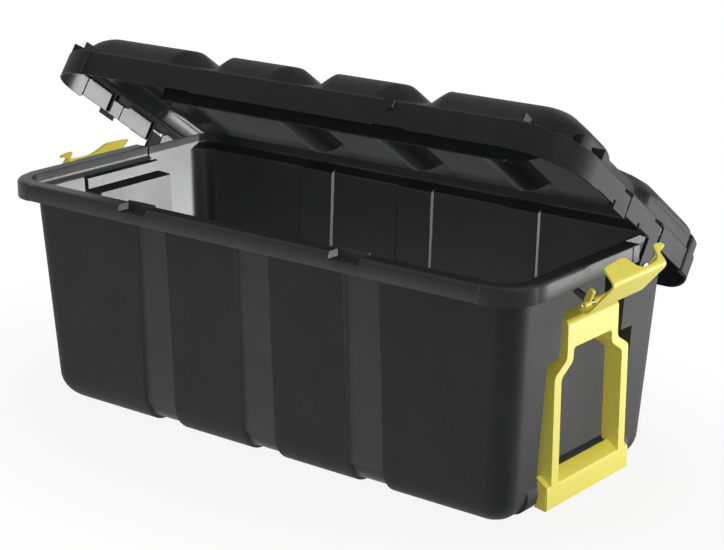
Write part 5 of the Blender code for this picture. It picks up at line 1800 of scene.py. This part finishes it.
@dataclass
class HingePins:
    """The steel pins: a headed one at each lid arm and a plain one through each latch."""

    plan: TrunkPlan
    finish: bpy.types.Material
    lid_radius: float = 0.003
    head_radius: float = 0.006
    head_thickness: float = 0.003
    latch_radius: float = 0.002
    latch_half: float = 0.065
    head_gap: float = 0.001
    sunk: float = 0.0015
    ease: float = 0.0004

    def build(self) -> None:
        """Makes all four pins and dresses them."""
        hinge = self.plan.lid_hinge
        for side in End:
            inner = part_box(f"lid_pin_{side.word}")[0 if side is End.RIGHT else 1].x
            neck = side.value * (self.plan.half_length + self.head_gap)
            sunk, outer = neck + side.value * self.sunk, neck + side.value * self.head_thickness
            axis = (0, hinge.y, hinge.z)
            draft = Draft(f"lid_pin_{side.word}_rod").rod(0, axis, inner, sunk, self.lid_radius, self.ease)
            pin = draft.build()
            head = Draft("head").rod(0, axis, neck, outer, self.head_radius, 2 * self.ease)
            carve(pin, [head], "UNION")
            dress(pin, "tub", [self.finish], [f"lid_pin_{side.word}"], sharp=40.0)
            place = self.plan.latch_hinge
            draft = Draft(f"latch_pin_{side.word}_rod")
            draft.rod(1, (side.value * place.x, 0, place.z), -self.latch_half, self.latch_half,
                      self.latch_radius, self.ease)
            dress(draft.build(), "tub", [self.finish], [f"latch_pin_{side.word}"], sharp=40.0)


@dataclass(frozen=True)
class Lamp:
    """One soft square light that faces the trunk's middle.

    Its azimuth is in degrees from +X towards +Y and its elevation in degrees over the floor. Its distance
    and its side are in metres and its power in watts. With shadow, pieces shade each other from it.
    """

    name: str
    azimuth: float
    elevation: float
    distance: float
    side: float
    power: float
    shadow: bool = False
    aim: float = 0.25

    def build(self) -> None:
        """Places the light."""
        around, up = math.radians(self.azimuth), math.radians(self.elevation)
        way = Vector((math.cos(around) * math.cos(up), math.sin(around) * math.cos(up), math.sin(up)))
        data = bpy.data.lights.new(self.name, "AREA")
        data.shape = "SQUARE"
        data.size = self.side
        data.energy = self.power
        data.use_shadow = self.shadow
        data.cycles.use_multiple_importance_sampling = self.shadow
        lamp = bpy.data.objects.new(self.name, data)
        place = Matrix.Translation(Vector((0, 0, self.aim)) + way * self.distance)
        lamp.matrix_world = place @ way.to_track_quat("Z", "Y").to_matrix().to_4x4()
        bpy.context.scene.collection.objects.link(lamp)
        lamp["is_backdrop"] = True


@dataclass
class Studio:
    """The camera of the photo, a white background, a pale floor and soft lights."""

    floor: bpy.types.Material
    eye: tuple[float, float, float] = (1.839, -2.2899, 1.1274)
    yaw: float = 38.0466
    pitch: float = -16.7457
    roll: float = 0.2357
    lens: float = 100.52
    sensor: float = 36.0
    brightness: float = 0.30
    floor_half: float = 6.0
    lamps: tuple[Lamp, ...] = (
        Lamp("key_right", azimuth=48, elevation=-6, distance=3.0, side=1.4, power=78),
        Lamp("fill_corner", azimuth=-15, elevation=32, distance=3.0, side=1.4, power=16),
        Lamp("fill_left", azimuth=-129, elevation=-32, distance=3.2, side=1.4, power=15),
        Lamp("fill_under", azimuth=145, elevation=-43, distance=3.0, side=2.0, power=2.5),
        Lamp("top", azimuth=-100, elevation=75, distance=2.6, side=1.8, power=5, shadow=True))

    def camera(self) -> None:
        """Places the camera where the photo was taken from."""
        yaw, pitch, roll = (math.radians(angle) for angle in (self.yaw, self.pitch, self.roll))
        ahead = Vector((-math.sin(yaw) * math.cos(pitch), math.cos(yaw) * math.cos(pitch), math.sin(pitch)))
        right = Vector((math.cos(yaw), math.sin(yaw), 0.0))
        up = right.cross(ahead)
        leaned = right * math.cos(roll) + up * math.sin(roll)
        risen = up * math.cos(roll) - right * math.sin(roll)
        data = bpy.data.cameras.new("photo_camera")
        data.lens = self.lens
        data.sensor_width = self.sensor
        data.clip_end = 50.0
        camera = bpy.data.objects.new("photo_camera", data)
        turn = Matrix((leaned, risen, -ahead)).transposed().to_4x4()
        camera.matrix_world = Matrix.Translation(Vector(self.eye)) @ turn
        bpy.context.scene.collection.objects.link(camera)
        bpy.context.scene.camera = camera

    def world(self) -> None:
        """Fills the surroundings with grey light, which the camera and reflections see as white."""
        world = bpy.data.worlds.new("studio_world")
        world.use_nodes = True
        tree = world.node_tree
        tree.nodes.clear()
        path = tree.nodes.new("ShaderNodeLightPath")
        seen = path.outputs["Is Camera Ray"]
        for ray in ("Is Glossy Ray", "Is Transmission Ray"):
            either = tree.nodes.new("ShaderNodeMath")
            either.operation = "MAXIMUM"
            tree.links.new(seen, either.inputs[0])
            tree.links.new(path.outputs[ray], either.inputs[1])
            seen = either.outputs[0]
        mix = tree.nodes.new("ShaderNodeMix")
        mix.data_type = "RGBA"
        mix.inputs[6].default_value = (self.brightness,) * 3 + (1,)
        mix.inputs[7].default_value = (1, 1, 1, 1)
        tree.links.new(seen, mix.inputs[0])
        background = tree.nodes.new("ShaderNodeBackground")
        tree.links.new(mix.outputs[2], background.inputs["Color"])
        output = tree.nodes.new("ShaderNodeOutputWorld")
        tree.links.new(background.outputs[0], output.inputs["Surface"])
        bpy.context.scene.world = world

    def ground(self) -> None:
        """Lays the pale floor under the tub."""
        half = self.floor_half
        corners = [[(-half, -half, 0), (half, -half, 0)], [(-half, half, 0), (half, half, 0)]]
        made = Draft("studio_floor").sheet(np.array(corners)).build()
        made.data.materials.append(self.floor)
        made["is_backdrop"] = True

    def build(self) -> None:
        """Sets up the camera, the lights, the surroundings and the floor."""
        self.camera()
        self.world()
        for lamp in self.lamps:
            lamp.build()
        self.ground()
        view = bpy.context.scene.view_settings
        view.view_transform = "Standard"
        view.look = "None"


def write_sizes(name: str, sizes: dict[str, Any]) -> None:
    """Adds the visible pieces' box at one moment to a record of sizes.

    Args:
        name: the moment.
        sizes: the record so far, to which the box is added.
    """
    low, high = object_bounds()
    sizes[name] = {"min": list(low), "max": list(high)}


def main() -> None:
    """Builds every piece in order and the studio round them."""
    logging.basicConfig(level=logging.INFO, format="%(message)s")
    sizes: dict[str, Any] = {}
    write_sizes("cad", sizes)
    plan = TrunkPlan.read()
    black, rubbed = (0.017, 0.0175, 0.0185), (0.030, 0.031, 0.033)
    panel = MouldedPlastic("tub_panel", black, rubbed, roughness=0.60, grain_size=0.0014,
                           grain_depth=0.00030, grain_contrast=0.35, specular=0.20).build()
    # The smooth finish's pigment is a shade paler than the panels' black: painted sheen, on top of the real
    # sheen from its lower roughness and higher specular.
    smooth = MouldedPlastic("tub_smooth", (0.021, 0.0215, 0.023), rubbed, roughness=0.32, grain_size=0.0020,
                            grain_depth=0.00003, grain_contrast=0.06, specular=0.60).build()
    rim = MouldedPlastic("tub_rim", (0.020, 0.0205, 0.022), rubbed, roughness=0.43, grain_size=0.0020,
                         grain_depth=0.00005, grain_contrast=0.15, specular=0.22).build()
    lid_panel = MouldedPlastic("lid_panel", (0.013, 0.0134, 0.0142), rubbed, roughness=0.54,
                               grain_size=0.0014, grain_depth=0.00010, grain_contrast=0.25,
                               specular=0.13).build()
    latch_yellow, handle_yellow = (
        MouldedPlastic(name, (0.79, 0.70, 0.095), (0.82, 0.74, 0.14), roughness=0.42, grain_size=0.0020,
                       grain_depth=0.00004, grain_contrast=0.06, specular=0.20).build()
        for name in ("latch_yellow", "handle_yellow"))
    steel = DrawnSteel("pin_metal", (0.55, 0.56, 0.57), roughness=0.3, along=0).build()
    floor = StudioFloor().build()
    Tub(plan, panel, smooth, rim).build()
    Lid(plan, lid_panel, smooth).build()
    for side in End:
        Latch(plan, side, latch_yellow).build()
        PullHandle(plan, side, handle_yellow).build()
    HingePins(plan, steel).build()
    Studio(floor).build()
    write_sizes("dressed", sizes)


if __name__ == "__main__":
    main()
